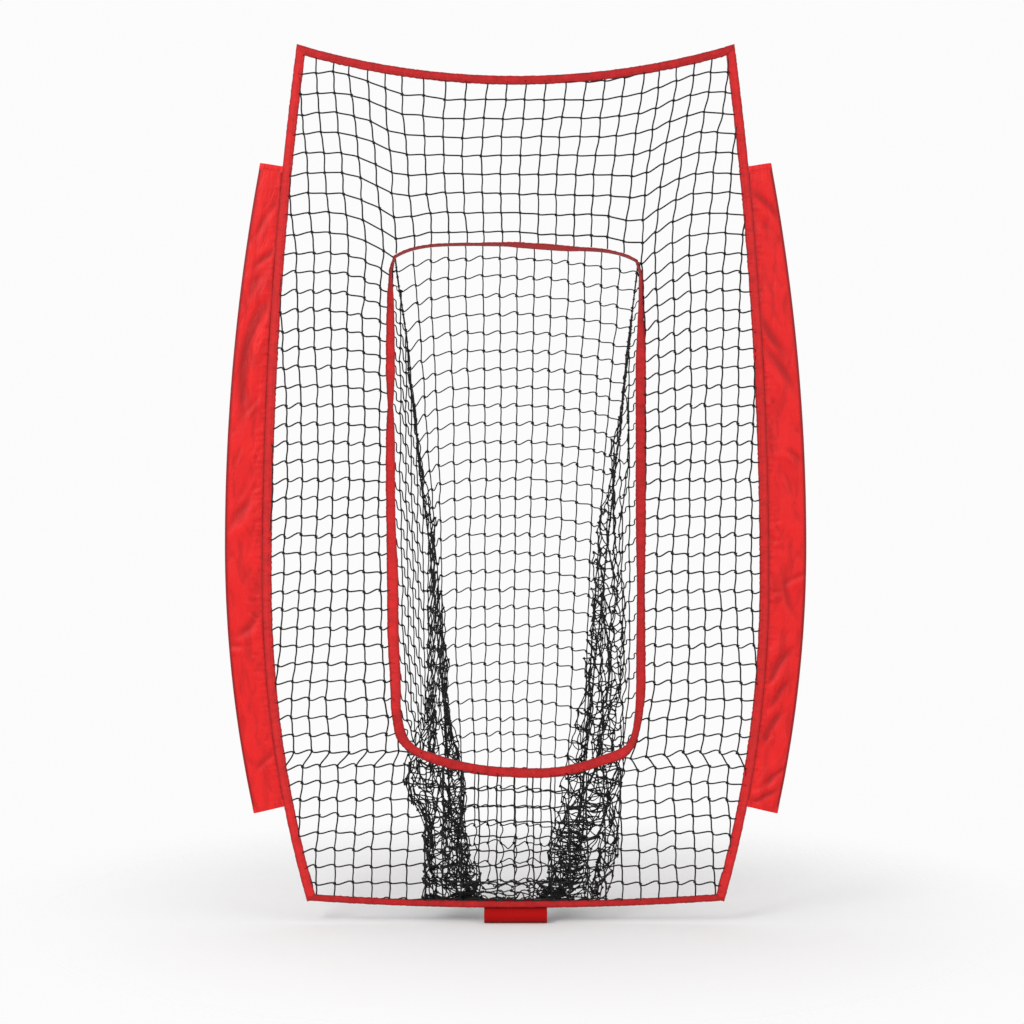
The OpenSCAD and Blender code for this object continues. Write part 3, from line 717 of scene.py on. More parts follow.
def gussetCells(rowNumber, side):
    # how many meshes wide a gusset is along each of its rows
    half = halfOf(side)
    wide = rowNumber / half["widen"] + pocket["widenLow"] * np.clip(rowNumber - 13, 0, None)
    return np.maximum(np.minimum(wide, half["cells"] + .6), 1e-6)


def hangBack(place):
    # the back panel: its columns hang evenly in the middle and close up near the lacing
    level, half, even = stations(rowNumbers, pocket["rows"]), pocket["backHalf"], pocket["evenHalf"]
    pitch = stations(level, pocket["pitch"])
    for c in range(-half, half + 1):
        side, count, column = (-1 if c < 0 else 1), abs(c), back0 + half + c
        line = lacingLine(level, side)
        spare = np.abs(line[:, 0]) - even * pitch
        outer = pitch * min(count, even) + max(count - even, 0) / (half - even) * spare
        outer = outer + side * stations(level, pocket["backShift"]) * (1 - (count / half)**2)
        depth, power = halfOf(side)["droop"]
        droop = depth * (count / half)**power * (.7 + .3 * ramp(rowNumbers, 0, 6)) * (rowNumbers > 0)
        down = ramp(rowNumbers, 0, pocket["backRows"])
        belly = pocket["belly"] * (1 - (c / half)**2) * np.sin(math.pi * down)
        place[:, column] = xyz(side * outer, line[:, 1] + belly, level - droop * (1 - below))
        place[0, column, 1:] = .013, mouthTop(outer[0]) - .004       # the top row is sewn into the tape
    place[1:, back0:backLast + 1, 0] += chance.normal(0, .0011, (rows, backWide))
    place[1:, back0:backLast + 1, 2] += chance.normal(0, .0013, (rows, backWide))


def hangLaced(place):
    # the laced columns go on forwards below the lacing's foot
    footX, footY = pocket["backFoot"][:2]
    for side, column in ((-1, back0), (1, backLast)):
        z = pocket["rows"][-1][1] - pocket["lacedFall"] * (1 - (1 - below)**1.5)
        x = footX * (1 - below) + stations(z, halfOf(side)["bunch"], 2) * below
        path = xyz(side * x, footY * (1 - below) + .010 * below, z)
        place[:, column] = np.where((below > 0)[:, None], path, place[:, column])


def gussetEdges(z, side, most):
    # at each height: the bunch's outer and inner edge, the mouth's tape, and how many meshes hang between the
    # tape and the bunch
    half, tapeFoot = halfOf(side), pocket["tapeRows"][-1][1]
    laced, top = np.abs(lacingLine(z, side)[:, 0]), half["bunch"][0][0]
    outer = np.where(z > top, laced, stations(z, half["bunch"], 1) - half["narrower"])
    inner = np.where(z > top, laced, stations(z, half["bunch"], 2))
    tape = np.where(z > tapeFoot, mouthHalf(np.maximum(z, tapeFoot)) - .010, outer)
    tape = np.maximum(tape, outer)
    ahead = np.maximum(np.minimum((tape - outer) / half["pitch"], most * .98), 1e-6)
    return outer, inner, tape, ahead


def hangGusset(side, place, real, held, loose):
    # each row falls from the mouth's side tape to the lacing, and bunches up beside it
    half, most = halfOf(side), gussetCells(rowNumbers, side)
    tapeRow, tapeFoot = pocket["tapeRows"][-1]
    t = ramp(rowNumbers, tapeRow, rows - tapeRow)
    lowTape = tapeFoot - pocket["tapeFall"] * (1 - (1 - t)**1.35)
    tapeZ = np.where(rowNumbers <= tapeRow, stations(rowNumbers, pocket["tapeRows"]), lowTape)
    tapeY = .010 + .05 * np.sin(math.pi * t)
    lacing = place[:, back0 if side < 0 else backLast]
    drop = np.maximum(tapeZ - lacing[:, 2], 0)
    for k in range(pocket["gussetCells"] + 1):
        column = k if side < 0 else columns - 1 - k
        u = np.clip(k / most, 0, 1)
        ahead = gussetEdges(tapeZ - np.minimum(k * half["fall"], drop), side, most)[3]
        turnZ = tapeZ - np.minimum(np.minimum(k, ahead) * half["fall"], drop)
        share = ramp(k, ahead, np.maximum(most - ahead, .3))
        fallen = turnZ * (1 - share) + lacing[:, 2] * share
        z = np.where(drop > 0, fallen, tapeZ * (1 - u) + lacing[:, 2] * u)
        outer, inner, tape, ahead = gussetEdges(z, side, most)
        share = ramp(k, ahead, np.maximum(most - ahead, .3))
        x = np.where(k <= ahead, tape - (tape - outer) * k / ahead, outer + (inner - outer) * share)
        inBunch = ramp(k, ahead, .8) * ramp(z, half["bunch"][0][0] + .05, -.10)
        width = outer - inner
        x = x + drifting(.22) * width * inBunch + chance.normal(0, .0010 + .0014 * inBunch)
        # a knot that strays out of the bunch is folded back in
        low, high = inner - .008, np.where(inBunch > .5, outer + .007, np.maximum(outer, tape) + .001)
        strayed = np.clip(low - x, 0, None) - np.clip(x - high, 0, None)
        x = np.clip(x + 2 * strayed * (inBunch > .5), low, high)
        y = tapeY * (1 - u) + lacing[:, 1] * u + drifting(.018) * inBunch
        z = z + chance.normal(0, .0015 + .003 * inBunch) + drifting(.014) * inBunch
        place[:, column] = xyz(side * x, np.clip(y, .010, .296), np.maximum(z, bottomZ(x) + .017))
        loose[:, column] = inBunch
        real[:, column] = most >= k
        held[:, column] = inBunch < .8
    first = 0 if side < 0 else columns - 1
    place[:tapeRow + 1, first, 0] += side * .007         # the first column is sewn into the tape
    held[:, first] = True


def hangFloor(place):
    # below, the back comes forwards to the bottom tape and lies there in a heap, still loose
    foot = np.linspace(*pocket["gather"], backWide) + chance.normal(0, .004, backWide)
    last = xyz(foot, .0065, bottomZ(foot) + .016)
    start = pocket["backRows"] - 3
    for c in range(1, backWide - 1):
        heap = pocket["heap"] + .9 * hump(c, 10, 1.6)      # most of it on the right
        t = 1 - (1 - ramp(rowNumbers, start, rows - start)[:, None])**heap
        path = place[start, back0 + c] * (1 - t) + last[c] * t
        path[:, 2:] -= .05 * np.sin(math.pi * t)
        path += chance.normal(0, .006, path.shape) * (t > 0) * (t < 1)
        place[start + 1:, back0 + c] = path[start + 1:]


def tieKnots(real):
    # which knots a bar of twine joins, and which others only keep each other at a distance
    index = np.arange((rows + 1) * columns).reshape(rows + 1, columns)
    bar, groups, bars = twine["bar"], [], []

    def addGroup(p, q, longest, shortest, push, isBar):
        p, q = p.ravel(), q.ravel()
        ok = real.ravel()[p] & real.ravel()[q]
        groups.append((p[ok], q[ok], longest, shortest, push))
        if isBar:
            bars.append((p[ok], q[ok]))

    for odd in (0, 1):
        addGroup(index[odd:-1:2], index[odd + 1::2], bar, bar * .3, .2, True)
    for block in (index[:, :back0], index[:, back0:backLast + 1], index[:, backLast + 1:]):
        for odd in (0, 1):
            cut = block[:, odd:]
            cut = cut[:, :cut.shape[1] // 2 * 2]
            addGroup(cut[:, 0::2], cut[:, 1::2], bar, bar * .3, .2, True)
        for offset in range(4):
            near = block[:, offset:-2:4]
            addGroup(near, block[:, offset + 2::4][:, :near.shape[1]], 9, bar * .5, .15, False)
    for offset in range(4):
        near = index[offset:-2:4]
        addGroup(near, index[offset + 2::4][:len(near)], 9, bar * 1.35, .15, False)
    # the gusset's last cell in each row ends on the lacing
    for side in (-1, 1):
        most = gussetCells(rowNumbers[:-1], side)
        k = most.astype(int)
        p = index[rowNumbers[:-1], k if side < 0 else columns - 1 - k]
        q = index[:-1, back0 if side < 0 else backLast]
        groups.append((p, q, np.maximum((most - k) * bar, .006), 0, 0))
        bars.append((p, q))
    return index, groups, bars


def pocketKnots():
    place = np.zeros((rows + 1, columns, 3))
    real = np.ones((rows + 1, columns), bool)
    held = np.zeros((rows + 1, columns), bool)
    loose = np.zeros((rows + 1, columns))
    hangBack(place)
    held[:pocket["backRows"] - 2, back0:backLast + 1] = True
    held[:, [back0, backLast]] = True
    hangLaced(place)
    for side in (-1, 1):
        hangGusset(side, place, real, held, loose)
    hangFloor(place)
    loose[pocket["backRows"] + 2:, back0:backLast + 1] = .7
    held[rows] = True
    index, groups, bars = tieKnots(real)
    flat, loose, free = place.reshape(-1, 3), loose.ravel(), (real & ~held).ravel()
    # the bunches are only drawn together, and the rest falls
    bunched = free & (loose > .75)
    wall = flat.copy()
    flat = tighten(flat, bunched, groups, 8, .9)
    flat[bunched, 0] = wall[bunched, 0] * .7 + flat[bunched, 0] * .3
    flat = settle(flat, free & ~bunched, groups)
    return flat, real.ravel(), index, bars, loose


flat, real, index, pairs, loose = pocketKnots()
column = np.tile(np.arange(columns), rows + 1)
row = np.repeat(np.arange(rows + 1), columns)
inBack = (column >= back0) & (column <= backLast)
tails, heads = (np.concatenate([p[i] for p in pairs]) for i in (0, 1))
upBar = row[tails] != row[heads]
swap = (flat[tails, 0] > flat[heads, 0]) & ~upBar
tails[swap], heads[swap] = heads[swap], tails[swap]
span = np.linalg.norm(flat[heads] - flat[tails], axis=1)
back = inBack[tails] & inBack[heads]
slack = np.maximum(loose[tails], loose[heads])
loosened = slack > pocket["loosened"]
# uprights hang nearly straight, a little looser in the bunches
length = np.where(loosened, span * np.where(back, 1.06, 1.03), span * 1.002)
sideways = np.array((1.0, .4, 0))
curves = slackCurves(flat[tails], flat[heads], length, sideways, twine["pocketPieces"], .5, .9, .6 * slack)
# crosswise bars
falling = np.where(flat[heads, 2] < flat[tails, 2], -1.0, 1.0)
n = len(span)
handle = np.where(back, twine["handle"], pocket["handle"] * chance.uniform(.8, 1.2, n))
drop = np.where(back, pocket["lift"] * chance.uniform(.5, 1.4, n), pocket["gussetLift"] * falling)
closer = pocket["closed"] - span         # where the back's columns close up, its bars bulge more
handle = np.where(back & (closer > 0), twine["handle"] + closer * pocket["bulge"], handle)
rise = drop.copy()
hangs = loosened & ~back                 # in the bunches the bars hang in loops
handle = np.where(hangs, chance.uniform(.1, 1.0, n), handle)
drop = np.where(hangs, chance.uniform(-.006, .026, n), drop)
rise = np.where(hangs, -chance.uniform(-.010, .024, n), rise)
folded = loosened & back                 # on the floor they lie any way round
handle = np.where(folded, chance.uniform(.1, .9, n), handle)
drop = np.where(folded, chance.normal(.006, .012, n), drop)
rise = np.where(folded, chance.normal(.004, .012, n), rise)
swung = bentCurves(flat[tails], flat[heads], handle, drop, rise, twine["pocketPieces"], .0015)
curves[~upBar] = swung[~upBar]
curves[..., 1] = np.clip(curves[..., 1], .0045, .302)
curves[..., 2] = np.maximum(curves[..., 2], bottomZ(curves[..., 0]) + .012)


def pocketArea(columnNumber, rowNumber):
    # 0 back, 1 left gusset, 2 right gusset, 3 floor
    side = np.where(columnNumber < back0, 1, np.where(columnNumber > backLast, 2, 0))
    return np.where(rowNumber >= pocket["backRows"] - 1, 3, side)


drawn = ~(back & (row[tails] == 0) & (row[heads] == 0))      # the top row is sewn into the tape
barColumn = np.where(inBack[tails], column[heads], column[tails])
barArea = pocketArea(barColumn, np.minimum(row[tails], row[heads]))
tieArea = pocketArea(column, row)
pocketNodes = ("pocket_back_net", "pocket_left_gusset", "pocket_right_gusset", "pocket_floor_net")
for number, node in enumerate(pocketNodes):
    ties = flat[(tieArea == number) & real & (row > 0)]
    shown = curves[(barArea == number) & drawn]
    parts = [tubeParts(shown, twine["pocketRadius"], twine["pocketSides"]), knotParts(ties)]
    piece = makeJoined(node + "_twine", parts, twineLook)
    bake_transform(piece)
    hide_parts(node)
    print(node, "bars", int((barArea == number).sum()), "knots", len(ties))

# tapes: a folded one's section, in halves of its width and thickness, goes along one face from the open edge
# to the fold, back along the other face, and then round the slot between the two
outside = [(-1, -.50), (-.88, -.58), (-.74, -.50), (-.55, -.74), (-.15, -.90), (.35, -1), (.78, -.97),
           (.94, -.62)]
inside = [(-1, .17), (-.55, .24), (.40, .34)]
tapeSection = np.array([*outside, (1, 0), *[(a, -b) for a, b in outside[::-1]],
                        *inside, *[(a, -b) for a, b in inside[::-1]]])


def lengthAlong(path):
    return np.concatenate([[0], np.cumsum(np.linalg.norm(np.diff(path, axis=0), axis=1))])


def evenly(path, step):
    far = lengthAlong(path)
    places = np.linspace(0, far[-1], max(int(far[-1] / step), 2) + 1)
    return readOff(places, far, path), places


def ripple(places, waves, seed):
    local = np.random.default_rng(seed)
    total = np.zeros_like(places)
    for wave in waves:
        for _ in range(2):
            total += np.sin(places * 2 * math.pi / (wave * local.uniform(.85, 1.2)) + local.uniform(0, 7))
    return total / (2 * len(waves))**.5


def tapeFrame(path, outward, degrees):
    # the ways across and out of a tape that lies in the front plane, or is tipped by degrees so that its open
    # edge stays at the front and its fold goes back
    across = np.cross(unit(np.gradient(path, axis=0)), forward)
    across = unit(across * np.sign((across * outward).sum(1))[:, None])
    tip = np.radians(np.broadcast_to(degrees, len(path)))[:, None]
    return np.cos(tip) * across - np.sin(tip) * forward, np.sin(tip) * across + np.cos(tip) * forward


def sewTape(node, path, outward, width, seed, look=tapeLook, degrees=0, back=0, stitchRows=(-.74,)):
    # a tape folded over the netting's edge: outward is the way from its open edge to its fold
    across, normal = tapeFrame(path, outward, degrees)
    path = path + xyz(0, back, 0)
    places, thick = lengthAlong(path), tapes["thick"]
    width = np.broadcast_to(np.asarray(width, float), places.shape)
    n, m = len(path), len(tapeSection)
    a, b = tapeSection.T
    ends = ramp(np.minimum(places, places[-1] - places), 0, .012)[:, None]
    pull = ripple(places, (.011, .019, .047), seed)[:, None] * ends
    slide = ripple(places, (.009, .016, .06), seed + 1)[:, None] * ends
    openSide = ramp(a, .3, -1.3)
    b = b * (1 + .22 * pull * openSide) + slide * .12 * openSide
    wobble = .00055 * slide * openSide + .0004 * pull * (1 - openSide)
    points = path[:, None] + across[:, None] * (a * width[:, None] / 2 + wobble)[..., None]
    points = points + normal[:, None] * (b * thick / 2)[..., None]
    points[..., 2] = np.minimum(points[..., 2], topZ(points[..., 0]) + .0008)
    girth = lengthAlong(tapeSection * (width.mean() / 2, thick / 2))
    girth = np.append(girth, girth[-1] + thick * .3)
    faces = ringFaces(n, m).tolist()
    uv = gridUv(n, m, places, girth).reshape(-1, 2).tolist()
    for end, order in ((0, range(m)), (n - 1, reversed(range(m)))):
        faces.append([end * m + i for i in order])
        uv += [(tapeSection[i, 0] * .01, tapeSection[i, 1] * .002) for i in range(m)]
    tape = makeMesh(node + "_tape", points, faces, uv, look)
    tape.data.polygons.foreach_set("use_smooth", [True] * (len(faces) - 2) + [False] * 2)
    # painted shade along the tape's rounded edges, in its puckers and where its open side slides out
    puckered = .34 * np.clip(pull, 0, 1.5) * openSide
    paintedShadeMask = ramp(np.abs(a), .66, .25) * .78 + puckered + .16 * np.clip(slide, 0, 2)
    addPaintedShade(tape, np.clip(paintedShadeMask, 0, .75))
    tidyNormals(tape)
    # stitches on both faces
    half = tapes["stitch"] / 2
    middle = np.arange(.004, places[-1] - .004, tapes["stitchGap"])
    starts, stops = middle - half, middle + half
    line = np.stack([starts, (starts + middle) / 2, middle, (middle + stops) / 2, stops], 1)
    parts = []
    for share in stitchRows:
        for face in (-1, 1):
            depth = np.interp(share, tapeSection[:9, 0], -tapeSection[:9, 1])
            bend = 1 + .22 * np.interp(line, places, pull[:, 0]) * ramp(share, .3, -1.3)
            slid = np.interp(line, places, slide[:, 0]) * .12 * ramp(share, .3, -1.3)
            off = face * depth * bend * thick / 2 + slid * thick / 2
            aside = readOff(line, places, across) * (share * np.interp(line, places, width) / 2)[..., None]
            arch = face * np.array([-.0003, .0002, .00035, .0002, -.0003])[None]
            rise = readOff(line, places, normal) * (off + arch)[..., None]
            parts.append(tubeParts(readOff(line, places, path) + aside + rise, tapes["stitchTwine"], 4))
    seam = makeJoined(node + "_tape_stitches", parts, threadLook)
    for piece in (tape, seam):
        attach(piece, "net")
    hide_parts(node)


z = np.linspace(outline["bottomCorner"] + .001, outline["topCorner"] - .001, 900)
for node, side in (("left_binding", -1), ("right_binding", 1)):
    path, _ = evenly(xyz(side * (sideX(z) - tapes["side"] / 2), 0, z), tapes["step"])
    sewTape(node, path, (side, 0, 0), tapes["side"], 11 + side, stitchRows=(-.74, -.3))
x = np.linspace(-.5405, .5405, 500)
path, _ = evenly(xyz(x, -.0003, topZ(x) - tapes["top"] / 2), tapes["step"])
# the top tape has the darker copy: painted shade
sewTape("top_binding", path, (0, 0, 1), tapes["top"], 21, tapePaintedShadeLook, stitchRows=(-.74, -.2))
x = np.linspace(-.516, .516, 500)
path, _ = evenly(xyz(x, -.0003, bottomZ(x) + tapes["bottom"] / 2), tapes["step"])
# the bottom tape has the darkest copy: painted shade
sewTape("bottom_binding", path, (0, 0, -1), tapes["bottom"], 31, tapeFootPaintedShadeLook)

# the mouth's rim: one tape all round, flat at the sides and tipped back along the top
rim = {
    # turn of the tape about its own length, in degrees: (height, left, right)
    "turn": [(.385, 0, 0), (.392, 25, 6), (.400, 45, 8), (.412, 40, 20), (.430, 30, 48), (.455, 14, 55),
             (.492, 0, 46), (.520, 0, 38), (.549, 0, 22), (.638, 0, 22), (.690, 0, 30), (.728, 0, 38),
             (.817, 0, 44), (.906, 20, 24), (.995, 28, 8), (1.085, 24, 4), (1.174, 28, 0), (1.235, 50, 0),
             (1.263, 66, 0), (1.300, 50, 0), (1.352, 24, 4), (1.442, 36, 46), (1.531, 54, 72),
             (1.563, 70, 72), (1.588, 78, 76), (1.620, 84, 84), (1.640, 85, 85)],
    # width of the tape: (height, left, right)
    "width": [(.50, .0245, .0245), (.60, .0275, .0245), (.72, .0285, .0245), (.85, .0285, .0245),
              (.95, .0250, .0250), (1.10, .0245, .0260), (1.35, .0245, .0260), (1.45, .0245, .0245)],
    # turn along the top: (distance from the middle, degrees)
    "topTurn": [(-.302, 85), (-.10, 84), (-.03, 76), (.0, 68), (.05, 64), (.11, 64), (.16, 78), (.302, 85)],
}
arcTurn = math.asin(mouth["arcHalf"] / mouth["arcR"])
angle = np.linspace(-1, 1, 200) * arcTurn
arc = xyz(mouth["arcR"] * np.sin(angle), 0, mouth["arcZ"] - mouth["arcR"] * np.cos(angle))
corner = cornerArc(np.linspace(arcTurn - math.pi / 2, 0, 60))
path, _ = evenly(np.concatenate([corner[::-1] * (-1, 1, 1), arc[1:-1], corner]), tapes["step"])


def rimTurn(path):
    left = stations(path[:, 2], rim["turn"], 1)
    right = stations(path[:, 2], rim["turn"], 2)
    return np.where(path[:, 0] < 0, left, right)


centre = np.array((0, 0, 1.0))
# the mouth's lower tape has the darker copy: painted shade
sewTape("mouth_bottom_binding", path, centre - path, tapes["mouth"], 41, tapePaintedShadeLook, rimTurn(path))
z = np.linspace(mouth["cornerZ"] - .003, 1.636, 400)
# the right side has the darker copy of the tape: painted shade
for node, side, look in (("mouth_left_binding", -1, tapeLook), ("mouth_right_binding", 1, tapePaintedShadeLook)):
    path, _ = evenly(xyz(side * mouthHalf(z), 0, z), tapes["step"])
    width = stations(path[:, 2], rim["width"], 1 if side < 0 else 2)
    sewTape(node, path, centre - path, width, 51 + side, look, rimTurn(path))
x = np.linspace(-.302, .302, 500)
path, _ = evenly(xyz(x, 0, mouthTop(x)), tapes["step"])
turn, back = stations(path[:, 0], rim["topTurn"]), .006 * (1 - (np.abs(path[:, 0]) / .31)**4)
# the tipped-back top tape has the lighter copy: painted light
sewTape("mouth_top_binding", path, centre - path, tapes["mouth"], 61, tapePaintedLightLook, turn, back)
print("tapes sewn")

# sleeves
sleeve = {
    "wide": .721, "wideHeight": .917, "upperBow": 5.166, "lowerBow": 3.100, "foot": .253, "head": 1.865,
    "footRise": .017, "headDrop": .008, "cloth": .0006, "hem": .016, "stitchTwine": .0004,
    # half its depth at the seam and at the pole, the most that folds make it, the rounding of its outer edge,
    # and how far the seam lies inside the side's edge
    "flat": .0012, "bulge": .0066, "deepest": .0135, "roll": .0075, "inset": .0012,
    # the plain folds: (x, height, x, height, half width, depth)
    "foldsLeft": [(-.594, 1.530, -.690, 1.240, .0130, .0070), (-.572, 1.500, -.640, 1.330, .0090, .0050),
                  (-.560, 1.680, -.645, 1.590, .0080, .0045), (-.560, 1.812, -.600, 1.740, .0100, .0035),
                  (-.628, .868, -.642, .800, .0080, .0050), (-.636, .760, -.690, .690, .0110, .0045),
                  (-.660, 1.060, -.700, .960, .0120, .0040), (-.590, .420, -.640, .350, .0090, .0035)],
    "foldsRight": [(.560, 1.820, .655, 1.700, .0100, .0045), (.590, 1.560, .665, 1.390, .0120, .0060),
                   (.570, 1.450, .680, 1.290, .0120, .0055), (.600, 1.250, .640, 1.130, .0100, .0040),
                   (.690, .660, .622, .570, .0110, .0060), (.690, .580, .610, .510, .0100, .0050),
                   (.668, .500, .600, .430, .0100, .0060), (.675, .375, .615, .300, .0090, .0055),
                   (.648, .325, .575, .262, .0080, .0050), (.672, .860, .690, .740, .0100, .0040)],
    # which way the folds run out from the seam: (height at the seam, rise for each metre outwards)
    "foldSlope": [(.25, 1.3), (.80, .9), (1.10, -1.6), (1.50, -2.9), (1.90, -2.4)],
    # smaller ones at random, then wrinkles along the seam
    "foldDepth": .0050,
    "foldKinds": [
        {"count": 7, "heights": (.28, 1.84), "run": (.04, .09), "start": (.1, .6), "wide": (.006, .012),
         "deep": (.3, .8)},
        {"count": 46, "run": (.010, .028), "start": (.02, .22), "wide": (.0032, .0055), "deep": (.15, .45)}],
    "rings": 420, "around": 56, "cutWidth": .172, "cutLength": 1.62,
}


def sleeveX(z):
    return bowedX(z, sleeve)


def allFolds(side, local):
    folds = list(sleeve["foldsLeft" if side < 0 else "foldsRight"])
    for kind in sleeve["foldKinds"]:
        for _ in range(kind["count"]):
            z0 = local.uniform(*kind["heights"]) if "heights" in kind else 1.10 + .38 * local.normal()
            seam, edge = float(sideX(z0)), float(sleeveX(z0))
            slope = stations(z0, sleeve["foldSlope"]) + local.normal(0, .5)
            run = local.uniform(*kind["run"])
            x0 = seam + (edge - seam) * local.uniform(*kind["start"])
            x1 = x0 + run / math.sqrt(1 + slope * slope)
            wide = local.uniform(*kind["wide"])
            deep = sleeve["foldDepth"] * local.uniform(*kind["deep"])
            folds.append((side * x0, z0, side * x1, z0 + slope * (x1 - x0), wide, deep))
    return folds


def foldRelief(x, z, side, local):
    # each fold is a valley with a bank on one side
    relief = np.zeros_like(x)
    for x0, z0, x1, z1, wide, deep in allFolds(side, local):
        x0, x1 = x0 * side, x1 * side
        run = math.hypot(x1 - x0, z1 - z0)
        wayX, wayZ = (x1 - x0) / run, (z1 - z0) / run
        share = ((x - x0) * wayX + (z - z0) * wayZ) / run
        bend = .10 * run * np.sin(share * local.uniform(2, 4) + local.uniform(0, 6))
        aside = (x - x0) * wayZ - (z - z0) * wayX + bend
        fade = ramp(np.minimum(share + .2, 1.2 - share), 0, .55)
        valley = hump(aside, 0, wide)
        bank = .7 * hump(aside, 1.9 * wide, 1.5 * wide)
        relief -= deep * (valley - bank) * fade * fade * (3 - 2 * fade)
    return relief


def dashes(line, lift, endShare):
    # a row of stitches on the sleeve, each a short raised dash
    way = unit(np.gradient(line, axis=0)) * .0015
    up = xyz(0, np.sign(line[:, 1]) * lift, 0)
    dash = np.stack([line - way + up * endShare, line + up, line + way + up * endShare], 1)
    return tubeParts(dash, sleeve["stitchTwine"], 4)


def sewHems(rings, t, girth, side):
    # the cloth turned up and stitched at both ends
    hems, rows, m = [], [], rings.shape[1]
    span = sleeve["hem"] / (sleeve["head"] - sleeve["foot"])
    swell = np.array((.0006, .0012, .0012, .0011, .0004))
    for start, swelling, inner in ((0, swell, 3), (1 - span, swell[::-1], 1)):
        take = np.linspace(start, start + span, 5)
        strip = np.stack([readOff(take, t, rings[:, i]) for i in range(m)], 1)
        hem = strip + xyz(0, np.sign(strip[..., 1]) * swelling[:, None], 0)
        hem[..., 0] += side * .0006 * hump(np.arange(m), (m - 1) / 2, 2)
        hems.append((hem.reshape(-1, 3), ringFaces(5, m, False), gridUv(5, m, take * 1.6, girth, False)))
        rows.append(dashes(evenly(hem[inner], tapes["stitchGap"])[0][1:-1], .0003, 0))
    return hems, rows


def makeSleeve(node, side, seed):
    local = np.random.default_rng(seed)
    n, half = sleeve["rings"], sleeve["around"] // 2
    t = np.linspace(0, 1, n)
    u = 1 - (1 - np.linspace(0, 1, half))**1.4       # 0 at the seam, 1 at the outer edge
    long = sleeve["head"] - sleeve["foot"]
    outerZ = sleeve["foot"] + t * long
    seamZ = sleeve["foot"] + sleeve["footRise"] + t * (long - sleeve["footRise"] - sleeve["headDrop"])
    z = seamZ[:, None] * (1 - u) + outerZ[:, None] * u
    inner, outer = sideX(z) - sleeve["inset"], sleeveX(z)
    room = outer - inner
    x = inner + room * u
    acrossM = room * u                       # metres from the seam
    body = sleeve["flat"] + (sleeve["bulge"] - sleeve["flat"]) * np.sin(np.clip(u, 0, 1) * math.pi / 2)**1.3
    roll = np.clip((1 - u) * room / sleeve["roll"], 0, 1)
    body = body * np.sqrt(np.clip(1 - (1 - roll)**2, 0, 1))
    faces, paintedShadeMasks = [], []
    for face in (-1, 1):                     # -1 is the front
        relief = foldRelief(x, z, side, local)
        relief *= ramp(acrossM, 0, .010) * roll
        pucker = ripple(z.ravel(), (.012, .017, .033), seed + 7 * face).reshape(z.shape)
        relief += .0010 * pucker * np.exp(-acrossM / .013) * ramp(acrossM, 0, .003)
        slow = ripple(z.ravel(), (.16, .27), seed + 3 * face).reshape(z.shape)
        swell = .0012 * slow * np.sin(u * math.pi)
        depth = np.clip(body + relief + swell, .0004 + .0006 * roll, sleeve["deepest"])
        faces.append(xyz(side * x, face * depth, z))
        # painted shade in the folds' valleys, in a dark line along the rolled outer edge, beside the seam and
        # in its puckers
        paintedShadeMask = np.clip(-relief / .0062, 0, .66)
        paintedShadeMask = np.maximum(paintedShadeMask, np.clip(2.6 * hump(x, outer, .0052), 0, .95))
        paintedShadeMask = np.maximum(paintedShadeMask, .72 * hump(acrossM, 0, .0036))
        paintedShadeMask = np.maximum(paintedShadeMask, np.clip(.5 * pucker, 0, .6) * hump(acrossM, 0, .012))
        paintedShadeMasks.append(paintedShadeMask)
    wave = ripple(t, (.21, .34), seed + 5) * .0012
    faces = [f + xyz(0, wave[:, None] * np.sin(u * math.pi), 0) for f in faces]
    rings = np.concatenate([faces[0], faces[1][:, ::-1][:, 1:]], axis=1)
    m = rings.shape[1]
    girth = lengthAlong(rings[n // 2])
    uv = gridUv(n, m, outerZ - outerZ[0], girth, False)
    cloth = makeMesh(node + "_cloth", rings, ringFaces(n, m, False), uv, sleeveLook)
    addPaintedShade(cloth, np.concatenate([paintedShadeMasks[0], paintedShadeMasks[1][:, ::-1][:, 1:]], axis=1))
    shell = cloth.modifiers.new("cloth", "SOLIDIFY")
    shell.thickness, shell.offset = sleeve["cloth"], 0
    bpy.context.view_layer.objects.active = cloth
    bpy.ops.object.select_all(action="DESELECT")
    cloth.select_set(True)
    bpy.ops.object.modifier_apply(modifier="cloth")
    hems, rows = sewHems(rings, t, girth, side)
    hemPiece = makeJoined(node + "_hems", hems, sleeveLook)
    # the seam that joins the sleeve to the side tape
    beside = np.abs(acrossM - .004).argmin(axis=1)
    for face in faces:
        rows.append(dashes(evenly(face[np.arange(n), beside], tapes["stitchGap"])[0], .0004, .3))
    stitches = makeJoined(node + "_stitches", rows, threadLook)
    for piece in (cloth, hemPiece, stitches):
        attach(piece, "net")
    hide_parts(node)


makeSleeve("left_sleeve", -1, 101)
makeSleeve("right_sleeve", 1, 202)
print("sleeves made")

